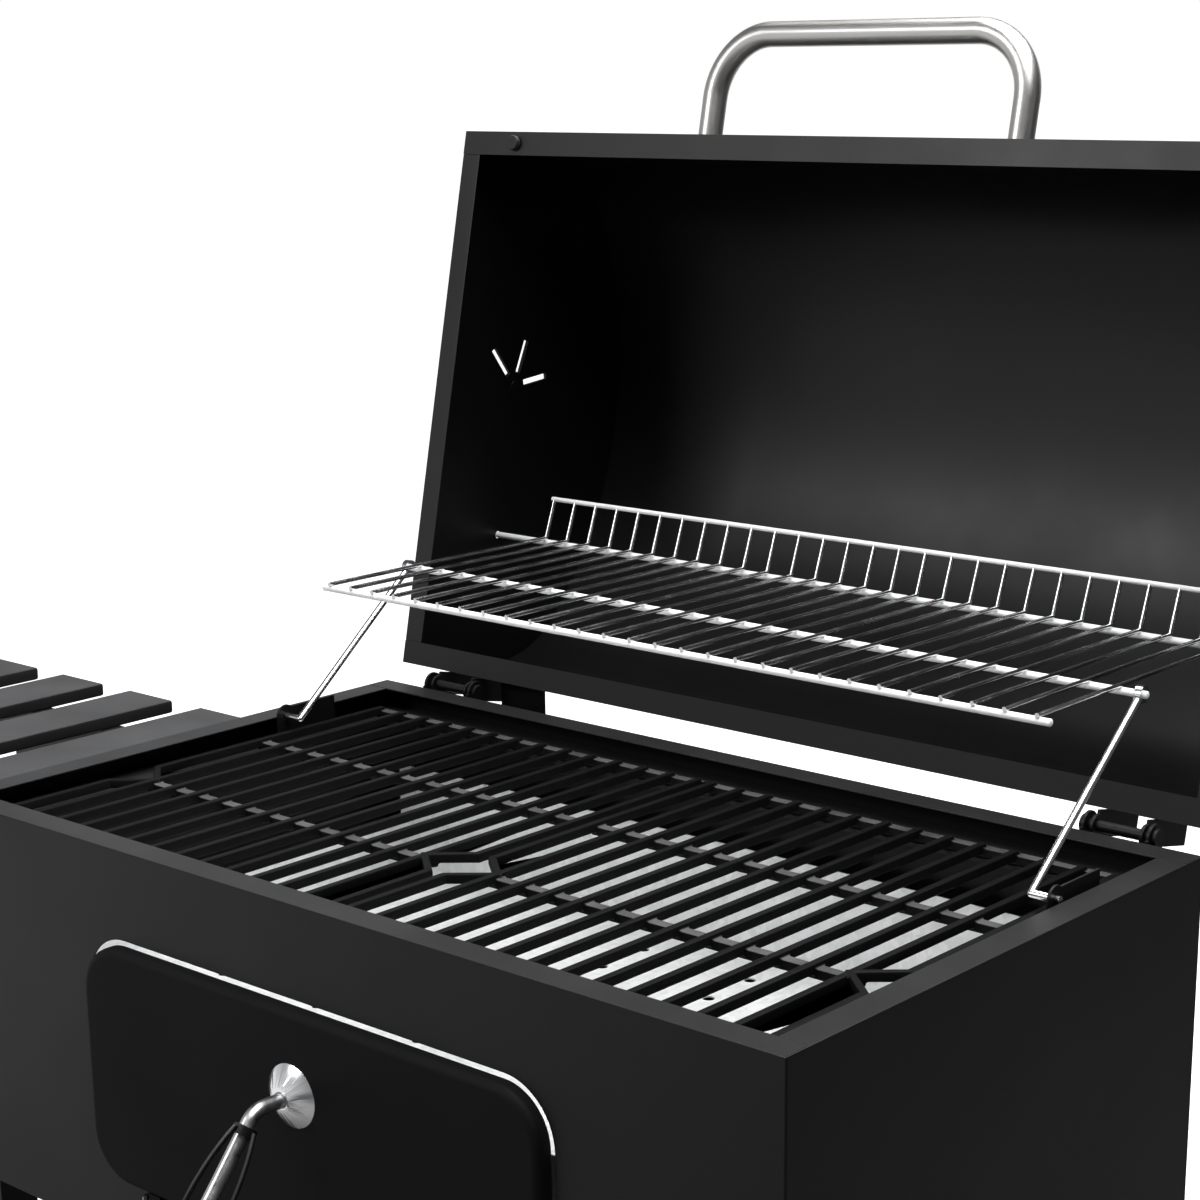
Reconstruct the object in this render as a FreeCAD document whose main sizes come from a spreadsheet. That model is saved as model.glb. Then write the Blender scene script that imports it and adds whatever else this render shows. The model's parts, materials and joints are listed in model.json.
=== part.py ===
import FreeCAD
import Part
import Sketcher
import math
import os

# Hooded charcoal grill on a cart.
# Frame: X across the box (the shelf is at -X), Y from the front panel to the back, Z up.
# The driving sizes are in the sheet "Sizes", in millimetres and degrees.
# Every place is built from the middle of the front panel at ground level, and originX and originY
# then carry the whole grill to the middle of its own footprint.

doc = FreeCAD.newDocument("CharcoalGrill")
sheet = doc.addObject("Spreadsheet::Sheet", "Sizes")
pieces = {}


class Size:
    # A number together with the sheet expression that gives it.
    def __init__(self, value, text):
        self.value = float(value)
        self.text = text

    def join(self, other, sign, value):
        return Size(value, "(" + self.text + " " + sign + " " + other.text + ")")

    def __add__(self, other):
        other = asSize(other)
        return self.join(other, "+", self.value + other.value)

    def __radd__(self, other):
        return asSize(other) + self

    def __sub__(self, other):
        other = asSize(other)
        return self.join(other, "-", self.value - other.value)

    def __rsub__(self, other):
        return asSize(other) - self

    def __mul__(self, other):
        other = asSize(other)
        return self.join(other, "*", self.value * other.value)

    def __rmul__(self, other):
        return asSize(other) * self

    def __truediv__(self, other):
        other = asSize(other)
        return self.join(other, "/", self.value / other.value)

    def __neg__(self):
        return Size(-self.value, "(0 - " + self.text + ")")


def asSize(number):
    return number if isinstance(number, Size) else Size(number, format(float(number), ".6f"))


def cosine(angle):
    return Size(math.cos(math.radians(angle.value)), "cos(" + angle.text + ")")


def sine(angle):
    return Size(math.sin(math.radians(angle.value)), "sin(" + angle.text + ")")


def root(square):
    return Size(math.sqrt(square.value), "sqrt(" + square.text + ")")


def arcTangent(rise, run):
    angle = math.degrees(math.atan2(rise.value, run.value))
    return Size(angle, "(atan2(" + rise.text + "; " + run.text + ") / 1 deg)")


sheetRow = 0


def size(name, value):
    # Writes one driving size into the next row of the sheet.
    global sheetRow
    sheetRow += 1
    sheet.set("A" + str(sheetRow), name)
    sheet.set("B" + str(sheetRow), str(value))
    sheet.setAlias("B" + str(sheetRow), name)
    return Size(value, "Sizes." + name)


# Where the footprint's middle lies, set at the end from the finished pieces.
originX = size("originX", 0)
originY = size("originY", 0)

# Box
boxWidth = size("boxWidth", 766)
boxDepth = size("boxDepth", 446)
boxHeight = size("boxHeight", 290)
rimHeight = size("rimHeight", 880)
steel = size("steel", 1.5)
rimFlange = size("rimFlange", 22)
seatGap = size("seatGap", 0.3)
sideGap = size("sideGap", 0.5)
sideVentPitch = size("sideVentPitch", 28)
sideVentWidth = size("sideVentWidth", 12)
sideVentLow = size("sideVentLow", 30)
sideVentTall = size("sideVentTall", 40)

# Grates and their ledge
grateDrop = size("grateDrop", 8.5)
gratePitch = size("gratePitch", 26)
grateBarWidth = size("grateBarWidth", 6)
grateBarHeight = size("grateBarHeight", 7)
grateRowPitch = size("grateRowPitch", 129)
grateRowWidth = size("grateRowWidth", 9)
grateRowDrop = size("grateRowDrop", 3)
grateSpace = size("grateSpace", 8.4)
grateFront = size("grateFront", 12.5)
notchHalf = size("notchHalf", 22)
ledgeWidth = size("ledgeWidth", 46)
ledgeSheet = size("ledgeSheet", 2.5)

# Charcoal pan
panFloorDrop = size("panFloorDrop", 150)
panWall = size("panWall", 35)
panBack = size("panBack", 85)
panSheet = size("panSheet", 1.2)
panSideSpace = size("panSideSpace", 30)
panEndSpace = size("panEndSpace", 15)
panFlange = size("panFlange", 13)
panHole = size("panHole", 9)
panHolePitchX = size("panHolePitchX", 103)
panHolePitchY = size("panHolePitchY", 48)
panBracket = size("panBracket", 25)

# Charcoal door and its handle
doorWidth = size("doorWidth", 425)
doorHeight = size("doorHeight", 172)
doorTop = size("doorTop", 68)
doorCorner = size("doorCorner", 36)
doorGap = size("doorGap", 4)
doorBulge = size("doorBulge", 10)
doorPinRadius = size("doorPinRadius", 3)
doorHingeSpread = size("doorHingeSpread", 150)
doorEdge = size("doorEdge", 6)
lugReach = size("lugReach", 4)
roseRadius = size("roseRadius", 22)
roseHeight = size("roseHeight", 10)
latchDrop = size("latchDrop", 56)
rodRadius = size("rodRadius", 5)
rodReach = size("rodReach", 14)
rodBend = size("rodBend", 15)
rodSlope = size("rodSlope", 50)
rodLength = size("rodLength", 122)
cageRadius = size("cageRadius", 19)
cageCollar = size("cageCollar", 8)
cageStrap = size("cageStrap", 1.6)
cageStart = size("cageStart", 4)
latchReach = size("latchReach", 74)
bushClearance = size("bushClearance", 0.06)
pressClearance = size("pressClearance", 0.02)
doorPinOut = size("doorPinOut", 5)
doorPinDrop = size("doorPinDrop", 6)
doorPinLength = size("doorPinLength", 26)
earRadius = size("earRadius", 4.2)
earWidth = size("earWidth", 12)
lugOffset = size("lugOffset", 9)
lugSheet = size("lugSheet", 4)
lugDrop = size("lugDrop", 5)
roseLip = size("roseLip", 2.5)
rodInside = size("rodInside", 7)
cageCollarLength = size("cageCollarLength", 6)
latchSpace = size("latchSpace", 1)
latchSheet = size("latchSheet", 2)
latchTail = size("latchTail", 14)
latchHalf = size("latchHalf", 11)
latchNutRadius = size("latchNutRadius", 9)
latchNutHeight = size("latchNutHeight", 3.5)

railSheet = size("railSheet", 2)

# Hood
hoodFlange = size("hoodFlange", 19)
hoodWall = size("hoodWall", 100)
hoodCorner = size("hoodCorner", 100)
hoodCrown = size("hoodCrown", 35)
hoodOpenAngle = size("hoodOpenAngle", 102)
bumperRadius = size("bumperRadius", 6)
bumperHeight = size("bumperHeight", 5)
bumperInset = size("bumperInset", 58)
hingeBack = size("hingeBack", 12)
hingeUp = size("hingeUp", 1)
hingeSpread = size("hingeSpread", 315)
hingeWidth = size("hingeWidth", 52)
hingePin = size("hingePin", 4)
hingeEar = size("hingeEar", 9.5)
hingeSheet = size("hingeSheet", 2)
earSheet = size("earSheet", 2.5)
hingePlateLow = size("hingePlateLow", 46)
hingePlateHigh = size("hingePlateHigh", 6)
hingeArm = size("hingeArm", 34)
leafInset = size("leafInset", 6)
leafLow = size("leafLow", 14)
leafHigh = size("leafHigh", 54)
leafArm = size("leafArm", 50)
leafEarLess = size("leafEarLess", 1.5)
pinHead = size("pinHead", 2.5)
pinHeadHeight = size("pinHeadHeight", 2.5)
pinSpace = size("pinSpace", 0.5)
stopLeft = size("stopLeft", -287)
stopWidth = size("stopWidth", 48)
stopNose = size("stopNose", 20)
stopSheet = size("stopSheet", 2)
stopPost = size("stopPost", 3)
stopLow = size("stopLow", 50)
stopHigh = size("stopHigh", 20)
stopClearance = size("stopClearance", 0.8)
handleSpread = size("handleSpread", 141)
handleRise = size("handleRise", 24)
handleReach = size("handleReach", 80)
handleBend = size("handleBend", 48)
handleRadius = size("handleRadius", 9.5)
handleWall = size("handleWall", 1.5)
ventBack = size("ventBack", 245)
ventUp = size("ventUp", 94)
ventInner = size("ventInner", 12)
ventOuter = size("ventOuter", 41)
ventSlot = size("ventSlot", 5)
damperRadius = size("damperRadius", 48)
ventPivot = size("ventPivot", 2.1)
damperGap = size("damperGap", 0.2)
damperTab = size("damperTab", 8)
damperTabReach = size("damperTabReach", 14)
rivetRadius = size("rivetRadius", 2)
rivetHead = size("rivetHead", 4.5)
rivetHeadHeight = size("rivetHeadHeight", 1.4)
rivetSpace = size("rivetSpace", 0.4)
screwShank = size("screwShank", 2.5)
plugLength = size("plugLength", 12)
plugClearance = size("plugClearance", 0.05)

# Warming rack
rackPinInset = size("rackPinInset", 115)
rackPinUp = size("rackPinUp", 102)
rackSpan = size("rackSpan", 150)
rackNose = size("rackNose", 99)
rackWirePitch = size("rackWirePitch", 24)
rackWire = size("rackWire", 1.7)
rackBar = size("rackBar", 2.6)
rackFence = size("rackFence", 34)
fenceLean = size("fenceLean", 20)
legPlane = size("legPlane", 339)
eyeClearance = size("eyeClearance", 0.05)
eyeWall = size("eyeWall", 3.4)
eyeWidth = size("eyeWidth", 5)
rackPlateStep = size("rackPlateStep", 16)
rackPlateRadius = size("rackPlateRadius", 9)
rackPlateSheet = size("rackPlateSheet", 2)
rackPlateBack = size("rackPlateBack", 52)
rackPlateRise = size("rackPlateRise", 8)

# Side shelf
slatWidth = size("slatWidth", 56)
slatGap = size("slatGap", 36)
slatThick = size("slatThick", 11)
slatLength = size("slatLength", 296)
slatDrop = size("slatDrop", 3)
railTube = size("railTube", 20)
railWall = size("railWall", 1.5)
railFront = size("railFront", 36)
railRear = size("railRear", 56)
slatSpace = size("slatSpace", 4)
slatForward = size("slatForward", 3)
braceReach = size("braceReach", 230)
braceTall = size("braceTall", 190)
braceEnd = size("braceEnd", 20)
braceSheet = size("braceSheet", 4)

# Cart
legTube = size("legTube", 32)
legWall = size("legWall", 2)
shelfHeight = size("shelfHeight", 190)
wheelRadius = size("wheelRadius", 85)
wheelWidth = size("wheelWidth", 34)
wheelHub = size("wheelHub", 22)
wheelSpace = size("wheelSpace", 3)
washerGap = size("washerGap", 0.4)
axleRadius = size("axleRadius", 5)
axleNut = size("axleNut", 9)
axleNutLength = size("axleNutLength", 8)
axleWasher = size("axleWasher", 11)
axleSpare = size("axleSpare", 12)
wheelTyre = size("wheelTyre", 16)
wheelDish = size("wheelDish", 8)
legInset = size("legInset", 1)
legSetBack = size("legSetBack", 4)
legSkirt = size("legSkirt", 22)
frameTube = size("frameTube", 24)
frameWall = size("frameWall", 2)
frameInset = size("frameInset", 4)
shelfEdge = size("shelfEdge", 26)
capRise = size("capRise", 14)
capClearance = size("capClearance", 0.1)
footHeight = size("footHeight", 12)
screwHead = size("screwHead", 5.5)
screwRise = size("screwRise", 3)

rackWires = 28
sideVents = 5
grateBars = 14
grateRows = 4
panHoleRows = 8
panHoleColumns = 3
ventLean = 72
ventFan = 60
slats = 4
half = boxWidth / 2
rim = rimHeight
floorTop = rim - boxHeight
grateTop = rim - grateDrop
grateUnder = grateTop - grateRowDrop - grateBarHeight
ledgeTop = grateUnder - seatGap
hingeY = boxDepth + hingeBack
hingeZ = rim + hingeUp
hoodPlane = rim + bumperHeight + seatGap


# Helpers

def bind(item, prop, value):
    item.setExpression(prop, asSize(value).text)


def place(item, x, y, z):
    item.Placement.Base = FreeCAD.Vector(asSize(x).value, asSize(y).value, asSize(z).value)
    bind(item, "Placement.Base.x", x)
    bind(item, "Placement.Base.y", y)
    bind(item, "Placement.Base.z", z)
    return item


def box(x0, x1, y0, y1, z0, z1):
    solid = doc.addObject("Part::Box", "Block")
    bind(solid, "Length", x1 - x0)
    bind(solid, "Width", y1 - y0)
    bind(solid, "Height", z1 - z0)
    return place(solid, x0, y0, z0)


def turn(item, axis, angle):
    item.Placement.Rotation = FreeCAD.Rotation(axis, asSize(angle).value)
    bind(item, "Placement.Rotation.Angle", angle)
    return item


alongX = (FreeCAD.Vector(0, 1, 0), 90)
alongY = (FreeCAD.Vector(1, 0, 0), -90)


def rod(radius, length, x, y, z, heading=None):
    # A round bar that starts at the point given and runs up, or along X or Y.
    solid = doc.addObject("Part::Cylinder", "Rod")
    bind(solid, "Radius", radius)
    bind(solid, "Height", length)
    place(solid, x, y, z)
    if heading:
        solid.Placement.Rotation = FreeCAD.Rotation(*heading)
    return solid


def bend(ring, radius, angle, x, y, z, start, heading):
    # A bent bar about the point given: it begins on the start side and sets off along heading.
    solid = doc.addObject("Part::Torus", "Bend")
    bind(solid, "Radius1", ring)
    bind(solid, "Radius2", radius)
    bind(solid, "Angle3", angle)
    place(solid, x, y, z)
    begin = FreeCAD.Vector(*start)
    ahead = FreeCAD.Vector(*heading)
    solid.Placement.Rotation = FreeCAD.Rotation(begin, ahead, begin.cross(ahead), "XYZ")
    return solid


def fuse(parts):
    joined = doc.addObject("Part::MultiFuse", "Joined")
    joined.Shapes = parts
    return joined


def group(parts):
    # Several separate solids that share one node.
    gathered = doc.addObject("Part::Compound", "Group")
    gathered.Links = parts
    return gathered


def common(parts):
    shared = doc.addObject("Part::MultiCommon", "Common")
    shared.Shapes = parts
    return shared


def cut(base, tools):
    left = doc.addObject("Part::Cut", "Cut")
    left.Base = base
    left.Tool = tools[0] if len(tools) == 1 else fuse(tools)
    return left


def publish(label, item, x=0, y=0, z=0):
    # A finished piece of the grill, carried to the footprint's middle.
    item.Label = label
    pieces[label] = item
    return place(item, originX + x, originY + y, z)


def publishOnHood(label, item, x=0, y=0, z=0):
    # The same for a piece drawn on the closed hood: it swings open with the hood.
    item.Label = label
    pieces[label] = item
    turn(item, FreeCAD.Vector(1, 0, 0), -hoodOpenAngle)
    closing = cosine(hoodOpenAngle)
    lifting = sine(hoodOpenAngle)
    openY = originY + hingeY + (y - hingeY) * closing + (z - hingeZ) * lifting
    openZ = hingeZ + (z - hingeZ) * closing - (y - hingeY) * lifting
    return place(item, originX + x, openY, openZ)


def newBody(name):
    return doc.addObject("PartDesign::Body", name)


def originPlane(body, role):
    for feature in body.Origin.OriginFeatures:
        if feature.Role == role:
            return feature
    raise ValueError(role)


def newSketch(body, role):
    sketch = body.newObject("Sketcher::SketchObject", body.Name + "Sketch")
    sketch.AttachmentSupport = [(originPlane(body, role), "")]
    sketch.MapMode = "FlatFace"
    return sketch


def hold(sketch, name, constraint, value):
    # Adds one named dimension and ties it to the sheet.
    number = sketch.addConstraint(constraint)
    sketch.renameConstraint(number, name)
    sketch.setExpression("Constraints." + name, asSize(value).text)


def pin(sketch, name, geometry, vertex, x, y):
    # Places one sketch point, whose coordinates are never negative.
    for letter, axis, value in (("X", -2, asSize(x)), ("Y", -1, asSize(y))):
        if value.value == 0:
            sketch.addConstraint(Sketcher.Constraint("PointOnObject", geometry, vertex, axis))
        else:
            rule = Sketcher.Constraint("Distance" + letter, -1, 1, geometry, vertex, value.value)
            hold(sketch, name + letter, rule, value)


def outline(sketch, corners):
    # A closed polygon, each corner tied to the sheet.
    spots = [FreeCAD.Vector(asSize(x).value, asSize(y).value, 0) for x, y in corners]
    count = len(spots)
    for index in range(count):
        sketch.addGeometry(Part.LineSegment(spots[index], spots[(index + 1) % count]), False)
    for index in range(count):
        following = (index + 1) % count
        sketch.addConstraint(Sketcher.Constraint("Coincident", index, 2, following, 1))
    for index, (x, y) in enumerate(corners):
        pin(sketch, "corner" + str(index), index, 1, x, y)


def roundedOutline(sketch, width, height, radius):
    # A rectangle with round corners, from the sketch's origin up and to the right.
    w = width.value
    h = height.value
    r = radius.value
    corners = ((r, r), (w - r, r), (w - r, h - r), (r, h - r))
    runs = (((r, 0), (w - r, 0)), ((w, r), (w, h - r)), ((w - r, h), (r, h)), ((0, h - r), (0, r)))
    for start, end in runs:
        sketch.addGeometry(Part.LineSegment(FreeCAD.Vector(*start, 0), FreeCAD.Vector(*end, 0)), False)
    for index, (x, y) in enumerate(corners):
        circle = Part.Circle(FreeCAD.Vector(x, y, 0), FreeCAD.Vector(0, 0, 1), r)
        begin = math.pi * (1 + index / 2)
        sketch.addGeometry(Part.ArcOfCircle(circle, begin, begin + math.pi / 2), False)
    for index in range(4):
        arc = 4 + index
        before = (index + 3) % 4
        sketch.addConstraint(Sketcher.Constraint("Tangent", before, 2, arc, 1))
        sketch.addConstraint(Sketcher.Constraint("Tangent", arc, 2, index, 1))
    for line, kind in enumerate(("Horizontal", "Vertical", "Horizontal", "Vertical")):
        sketch.addConstraint(Sketcher.Constraint(kind, line))
    for arc in (5, 6, 7):
        sketch.addConstraint(Sketcher.Constraint("Equal", 4, arc))
    sketch.addConstraint(Sketcher.Constraint("PointOnObject", 0, 1, -1))
    sketch.addConstraint(Sketcher.Constraint("PointOnObject", 3, 1, -2))
    hold(sketch, "wide", Sketcher.Constraint("DistanceX", -1, 1, 1, 1, w), width)
    hold(sketch, "high", Sketcher.Constraint("DistanceY", -1, 1, 2, 1, h), height)
    hold(sketch, "round", Sketcher.Constraint("Radius", 4, r), radius)


def pad(body, sketch, length):
    feature = body.newObject("PartDesign::Pad", body.Name + "Pad")
    feature.Profile = sketch
    bind(feature, "Length", length)
    return feature


def roundedPlate(name, width, height, radius, thick):
    # An upright plate in the XZ plane with round corners; it runs back along +Y.
    body = newBody(name)
    sketch = newSketch(body, "XZ_Plane")
    roundedOutline(sketch, width, height, radius)
    plate = pad(body, sketch, thick)
    plate.Reversed = True
    return body



# Box

def doorOpening():
    hole = roundedPlate("DoorHole", doorWidth + doorGap * 2, doorHeight + doorGap * 2,
                        doorCorner + doorGap, steel * 3)
    return place(hole, -doorWidth / 2 - doorGap, -steel, rim - doorTop - doorHeight - doorGap)


def makeBox():
    web = box(-half, half, 0, steel, floorTop, rim)
    lip = box(-half + steel, half - steel, steel, rimFlange, rim - steel, rim)
    publish("front_panel", cut(fuse([web, lip]), [doorOpening()]))
    web = box(-half, half, boxDepth - steel, boxDepth, floorTop, rim)
    lip = box(-half + steel, half - steel, boxDepth - rimFlange, boxDepth - steel, rim - steel, rim)
    publish("rear_panel", fuse([web, lip]))
    for label, outer, inner, lipEnd in (("left_panel", -half, -half + steel, -half + rimFlange),
                                        ("right_panel", half - steel, half, half - rimFlange)):
        web = box(outer, inner, steel, boxDepth - steel, floorTop, rim)
        if lipEnd.value < 0:
            lip = box(inner, lipEnd, rimFlange, boxDepth - rimFlange, rim - steel, rim)
        else:
            lip = box(lipEnd, outer, rimFlange, boxDepth - rimFlange, rim - steel, rim)
        slots = []
        for number in range(sideVents):
            slotY = (boxDepth - sideVentPitch * (sideVents - 1) - sideVentWidth) / 2 + sideVentPitch * number
            slots.append(box(outer - steel, inner + steel, slotY, slotY + sideVentWidth,
                             floorTop + sideVentLow, floorTop + sideVentLow + sideVentTall))
        publish(label, cut(fuse([web, lip]), slots))
    plate = box(-half + steel, half - steel, steel, boxDepth - steel, floorTop, floorTop + steel)
    publish("floor_panel", group([plate]))
    ring = box(-half + steel, half - steel, steel, boxDepth - steel, ledgeTop - ledgeSheet, ledgeTop)
    window = box(-half + steel + ledgeWidth, half - steel - ledgeWidth, steel + ledgeWidth,
                 boxDepth - steel - ledgeWidth, ledgeTop - ledgeSheet * 2, ledgeTop + ledgeSheet)
    publish("grate_ledge", cut(ring, [window]))


makeBox()


# Grates and charcoal pan

def wedge(name, x, y, side, corners, base, height):
    # An upright prism drawn from the grate's edge inwards; side -1 turns it to face the other way.
    body = newBody(name)
    outline(newSketch(body, "XY_Plane"), corners)
    pad(body, body.Group[0], height)
    if side < 0:
        body.Placement.Rotation = FreeCAD.Rotation(FreeCAD.Vector(0, 0, 1), 180)
    return place(body, x, y, base)


def grate(label, left):
    # Slots between parallel bars, with a notch in each long side.
    right = left + gratePitch * (grateBars - 1) + grateBarWidth
    rowY = [grateFront + grateRowWidth / 2 + grateRowPitch * row for row in range(grateRows)]
    bars = []
    for number in range(grateBars):
        x = left + gratePitch * number
        bars.append(box(x, x + grateBarWidth, rowY[0], rowY[-1], grateTop - grateBarHeight, grateTop))
    for y in rowY:
        bars.append(box(left, right, y - grateRowWidth / 2, y + grateRowWidth / 2,
                        grateUnder, grateTop - grateRowDrop))
    border = grateBarWidth + 1
    apex = gratePitch * (border / notchHalf + 1)
    notch = ((0, border), (gratePitch, border + notchHalf), (0, border + notchHalf * 2))
    edge = notch + ((0, border * 2 + notchHalf * 2), (apex, border + notchHalf), (0, 0))
    notches = []
    rims = []
    for side, x in ((1, left), (-1, right)):
        y = rowY[1] - (border + notchHalf) * side
        notches.append(wedge("Notch", x, y, side, notch, grateUnder - grateBarHeight, grateBarHeight * 3))
        rims.append(wedge("NotchRim", x, y, side, edge, grateTop - grateBarHeight, grateBarHeight))
    return publish(label, fuse([cut(fuse(bars), notches)] + rims))


grate("grate_left", -grateSpace / 2 - gratePitch * (grateBars - 1) - grateBarWidth)
grate("grate_right", grateSpace / 2)


def makePan():
    x = half - panSideSpace
    y0 = panEndSpace + steel
    y1 = boxDepth - steel - panEndSpace
    floor = rim - panFloorDrop
    top = floor + panWall
    shell = cut(box(-x, x, y0, y1, floor - panSheet, top),
                [box(-x + panSheet, x - panSheet, y0 + panSheet, y1 - panSheet, floor, top + steel)])
    back = box(-x, x, y1 - panSheet, y1, top, floor + panBack)
    flanges = [box(-x - panFlange, -x, y0, y1, top - panSheet, top),
               box(x, x + panFlange, y0, y1, top - panSheet, top)]
    holes = []
    for row in range(panHoleRows):
        offset = (row // 2) % 2
        for column in range(-panHoleColumns, panHoleColumns + 1 - offset):
            holes.append(rod(panHole / 2, panSheet * 3, panHolePitchX * (column + offset / 2),
                             boxDepth / 2 + panHolePitchY * (row - (panHoleRows - 1) / 2), floor - panSheet * 2))
    publish("charcoal_pan", cut(fuse([shell, back] + flanges), holes))
    seat = top - panSheet - seatGap
    brackets = []
    for wall, reach in ((-half + steel, -x - sideGap), (half - steel, x + sideGap)):
        if wall.value < 0:
            shelf = box(wall, reach, y0, y1, seat - railSheet, seat)
            web = box(wall, wall + railSheet, y0, y1, seat - panBracket, seat - railSheet)
        else:
            shelf = box(reach, wall, y0, y1, seat - railSheet, seat)
            web = box(wall - railSheet, wall, y0, y1, seat - panBracket, seat - railSheet)
        brackets.append(fuse([shelf, web]))
    publish("pan_brackets", group(brackets))


makePan()


# Charcoal door

doorFoot = rim - doorTop - doorHeight
doorFace = -doorBulge
doorPinY = -doorPinOut
doorPinZ = doorFoot - doorPinDrop
latchZ = rim - doorTop - latchDrop


def softPlate(name, width, height, radius, thick, edge):
    # The rounded plate with its front edge rolled over.
    body = roundedPlate(name, width, height, radius, thick)
    doc.recompute()
    faces = body.Shape.Faces
    front = min(range(len(faces)), key=lambda index: faces[index].CenterOfMass.y)
    plate = body.Tip
    fillet = body.newObject("PartDesign::Fillet", name + "Edge")
    fillet.Base = (plate, ["Face" + str(front + 1)])
    bind(fillet, "Radius", edge)
    body.Tip = fillet
    return body


def doorEars():
    # Two ears under the door that turn on the hinge pins.
    ears = []
    for side in (-1, 1):
        x = doorHingeSpread * side
        left = x - earWidth / 2
        knuckle = rod(earRadius, earWidth, left, doorPinY, doorPinZ, alongX)
        neck = box(left, left + earWidth, doorPinY - doorPinRadius, doorPinY + doorPinRadius, doorPinZ, doorFoot + 0.5)
        bore = rod(doorPinRadius + bushClearance, earWidth + 4, left - 2, doorPinY, doorPinZ, alongX)
        ears.append(cut(fuse([knuckle, neck]), [bore]))
    return ears


def makeDoor():
    depth = doorBulge + steel
    left = -doorWidth / 2
    shell = place(softPlate("DoorSkin", doorWidth, doorHeight, doorCorner, depth, doorEdge),
                  left, doorFace, doorFoot)
    hollow = place(softPlate("DoorHollow", doorWidth - steel * 2, doorHeight - steel * 2,
                             doorCorner - steel, depth, doorEdge - steel),
                   left + steel, doorFace + steel, doorFoot + steel)
    bore = rod(rodRadius + bushClearance, depth * 3, 0, doorFace - depth, latchZ, alongY)
    publish("charcoal_door", fuse([cut(shell, [hollow, bore])] + doorEars()))
    cone = doc.addObject("Part::Cone", "Rose")
    bind(cone, "Radius1", roseRadius)
    bind(cone, "Radius2", rodRadius + roseLip)
    bind(cone, "Height", roseHeight)
    cone.Placement.Rotation = FreeCAD.Rotation(FreeCAD.Vector(1, 0, 0), 90)
    place(cone, 0, doorFace, latchZ)
    through = rod(rodRadius + bushClearance, depth * 4, 0, doorFace - depth * 2, latchZ, alongY)
    publish("door_rose", cut(cone, [through]))


def makeHandleRod():
    # Out through the rose, over one bend, then down and away at the slope.
    inside = steel + rodInside
    bendY = doorFace - roseHeight - rodReach
    stub = rod(rodRadius, inside - bendY, 0, bendY, latchZ, alongY)
    turnZ = latchZ - rodBend
    corner = bend(rodBend, rodRadius, rodSlope, 0, bendY, turnZ, (0, 0, 1), (0, -1, 0))
    gripY = bendY - rodBend * sine(rodSlope)
    gripZ = turnZ + rodBend * cosine(rodSlope)
    grip = turn(rod(rodRadius, rodLength, 0, gripY, gripZ), FreeCAD.Vector(1, 0, 0), rodSlope + 90)
    publish("door_handle_rod", fuse([stub, corner, grip]))
    return gripY, gripZ


def makeCage(gripY, gripZ):
    # Four bowed straps between two collars, drawn upright and then laid along the grip.
    rise = cageRadius - cageCollar
    length = rodLength - 8
    ring = (length * length / 4 + rise * rise) / (rise * 2)
    parts = []
    for z in (asSize(0), length - cageCollarLength):
        sleeve = rod(cageCollar, cageCollarLength, 0, 0, z)
        parts.append(cut(sleeve, [rod(rodRadius + capClearance, cageCollarLength + 2, 0, 0, z - 1)]))
    for quarter in range(4):
        hoop = doc.addObject("Part::Torus", "Hoop")
        bind(hoop, "Radius1", ring)
        bind(hoop, "Radius2", cageStrap)
        place(hoop, cageRadius - ring, 0, length / 2)
        hoop.Placement.Rotation = FreeCAD.Rotation(FreeCAD.Vector(1, 0, 0), 90)
        bow = common([hoop, box(cageCollar - 2.5, cageRadius + 5, asSize(-5), asSize(5), asSize(2), length - 2)])
        bow.Placement.Rotation = FreeCAD.Rotation(FreeCAD.Vector(0, 0, 1), 90 * quarter)
        parts.append(bow)
    cage = fuse(parts)
    turn(cage, FreeCAD.Vector(1, 0, 0), rodSlope + 90)
    publish("door_handle_cage", cage, 0, gripY - cageStart * cosine(rodSlope), gripZ - cageStart * sine(rodSlope))


def makeLatch():
    y = steel + latchSpace
    back = y + latchSheet
    plate = box(-latchTail, latchReach, y, back, latchZ - latchHalf, latchZ + latchHalf)
    bore = rod(rodRadius + pressClearance, back + latchNutHeight * 2, 0, -steel, latchZ, alongY)
    publish("latch_tongue", cut(plate, [bore]))
    nut = cut(rod(latchNutRadius, latchNutHeight, 0, back, latchZ, alongY), [bore])
    publish("latch_nut", nut)


def makeDoorHinges():
    pins = []
    lugs = []
    for side in (-1, 1):
        x = doorHingeSpread * side
        pins.append(rod(doorPinRadius, doorPinLength, x - doorPinLength / 2, doorPinY, doorPinZ, alongX))
        for way in (-1, 1):
            start = x + lugOffset * way - lugSheet / 2
            plate = box(start, start + lugSheet, doorPinY - lugReach, 0, doorPinZ - lugDrop, doorPinZ + lugReach)
            hole = rod(doorPinRadius + pressClearance, lugSheet * 2, start - lugSheet / 2, doorPinY, doorPinZ, alongX)
            lugs.append(cut(plate, [hole]))
    publish("door_hinge_pins", group(pins))
    publish("door_hinge_lugs", group(lugs))


makeDoor()
makeCage(*makeHandleRod())
makeLatch()
makeDoorHinges()


# Hood

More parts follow.
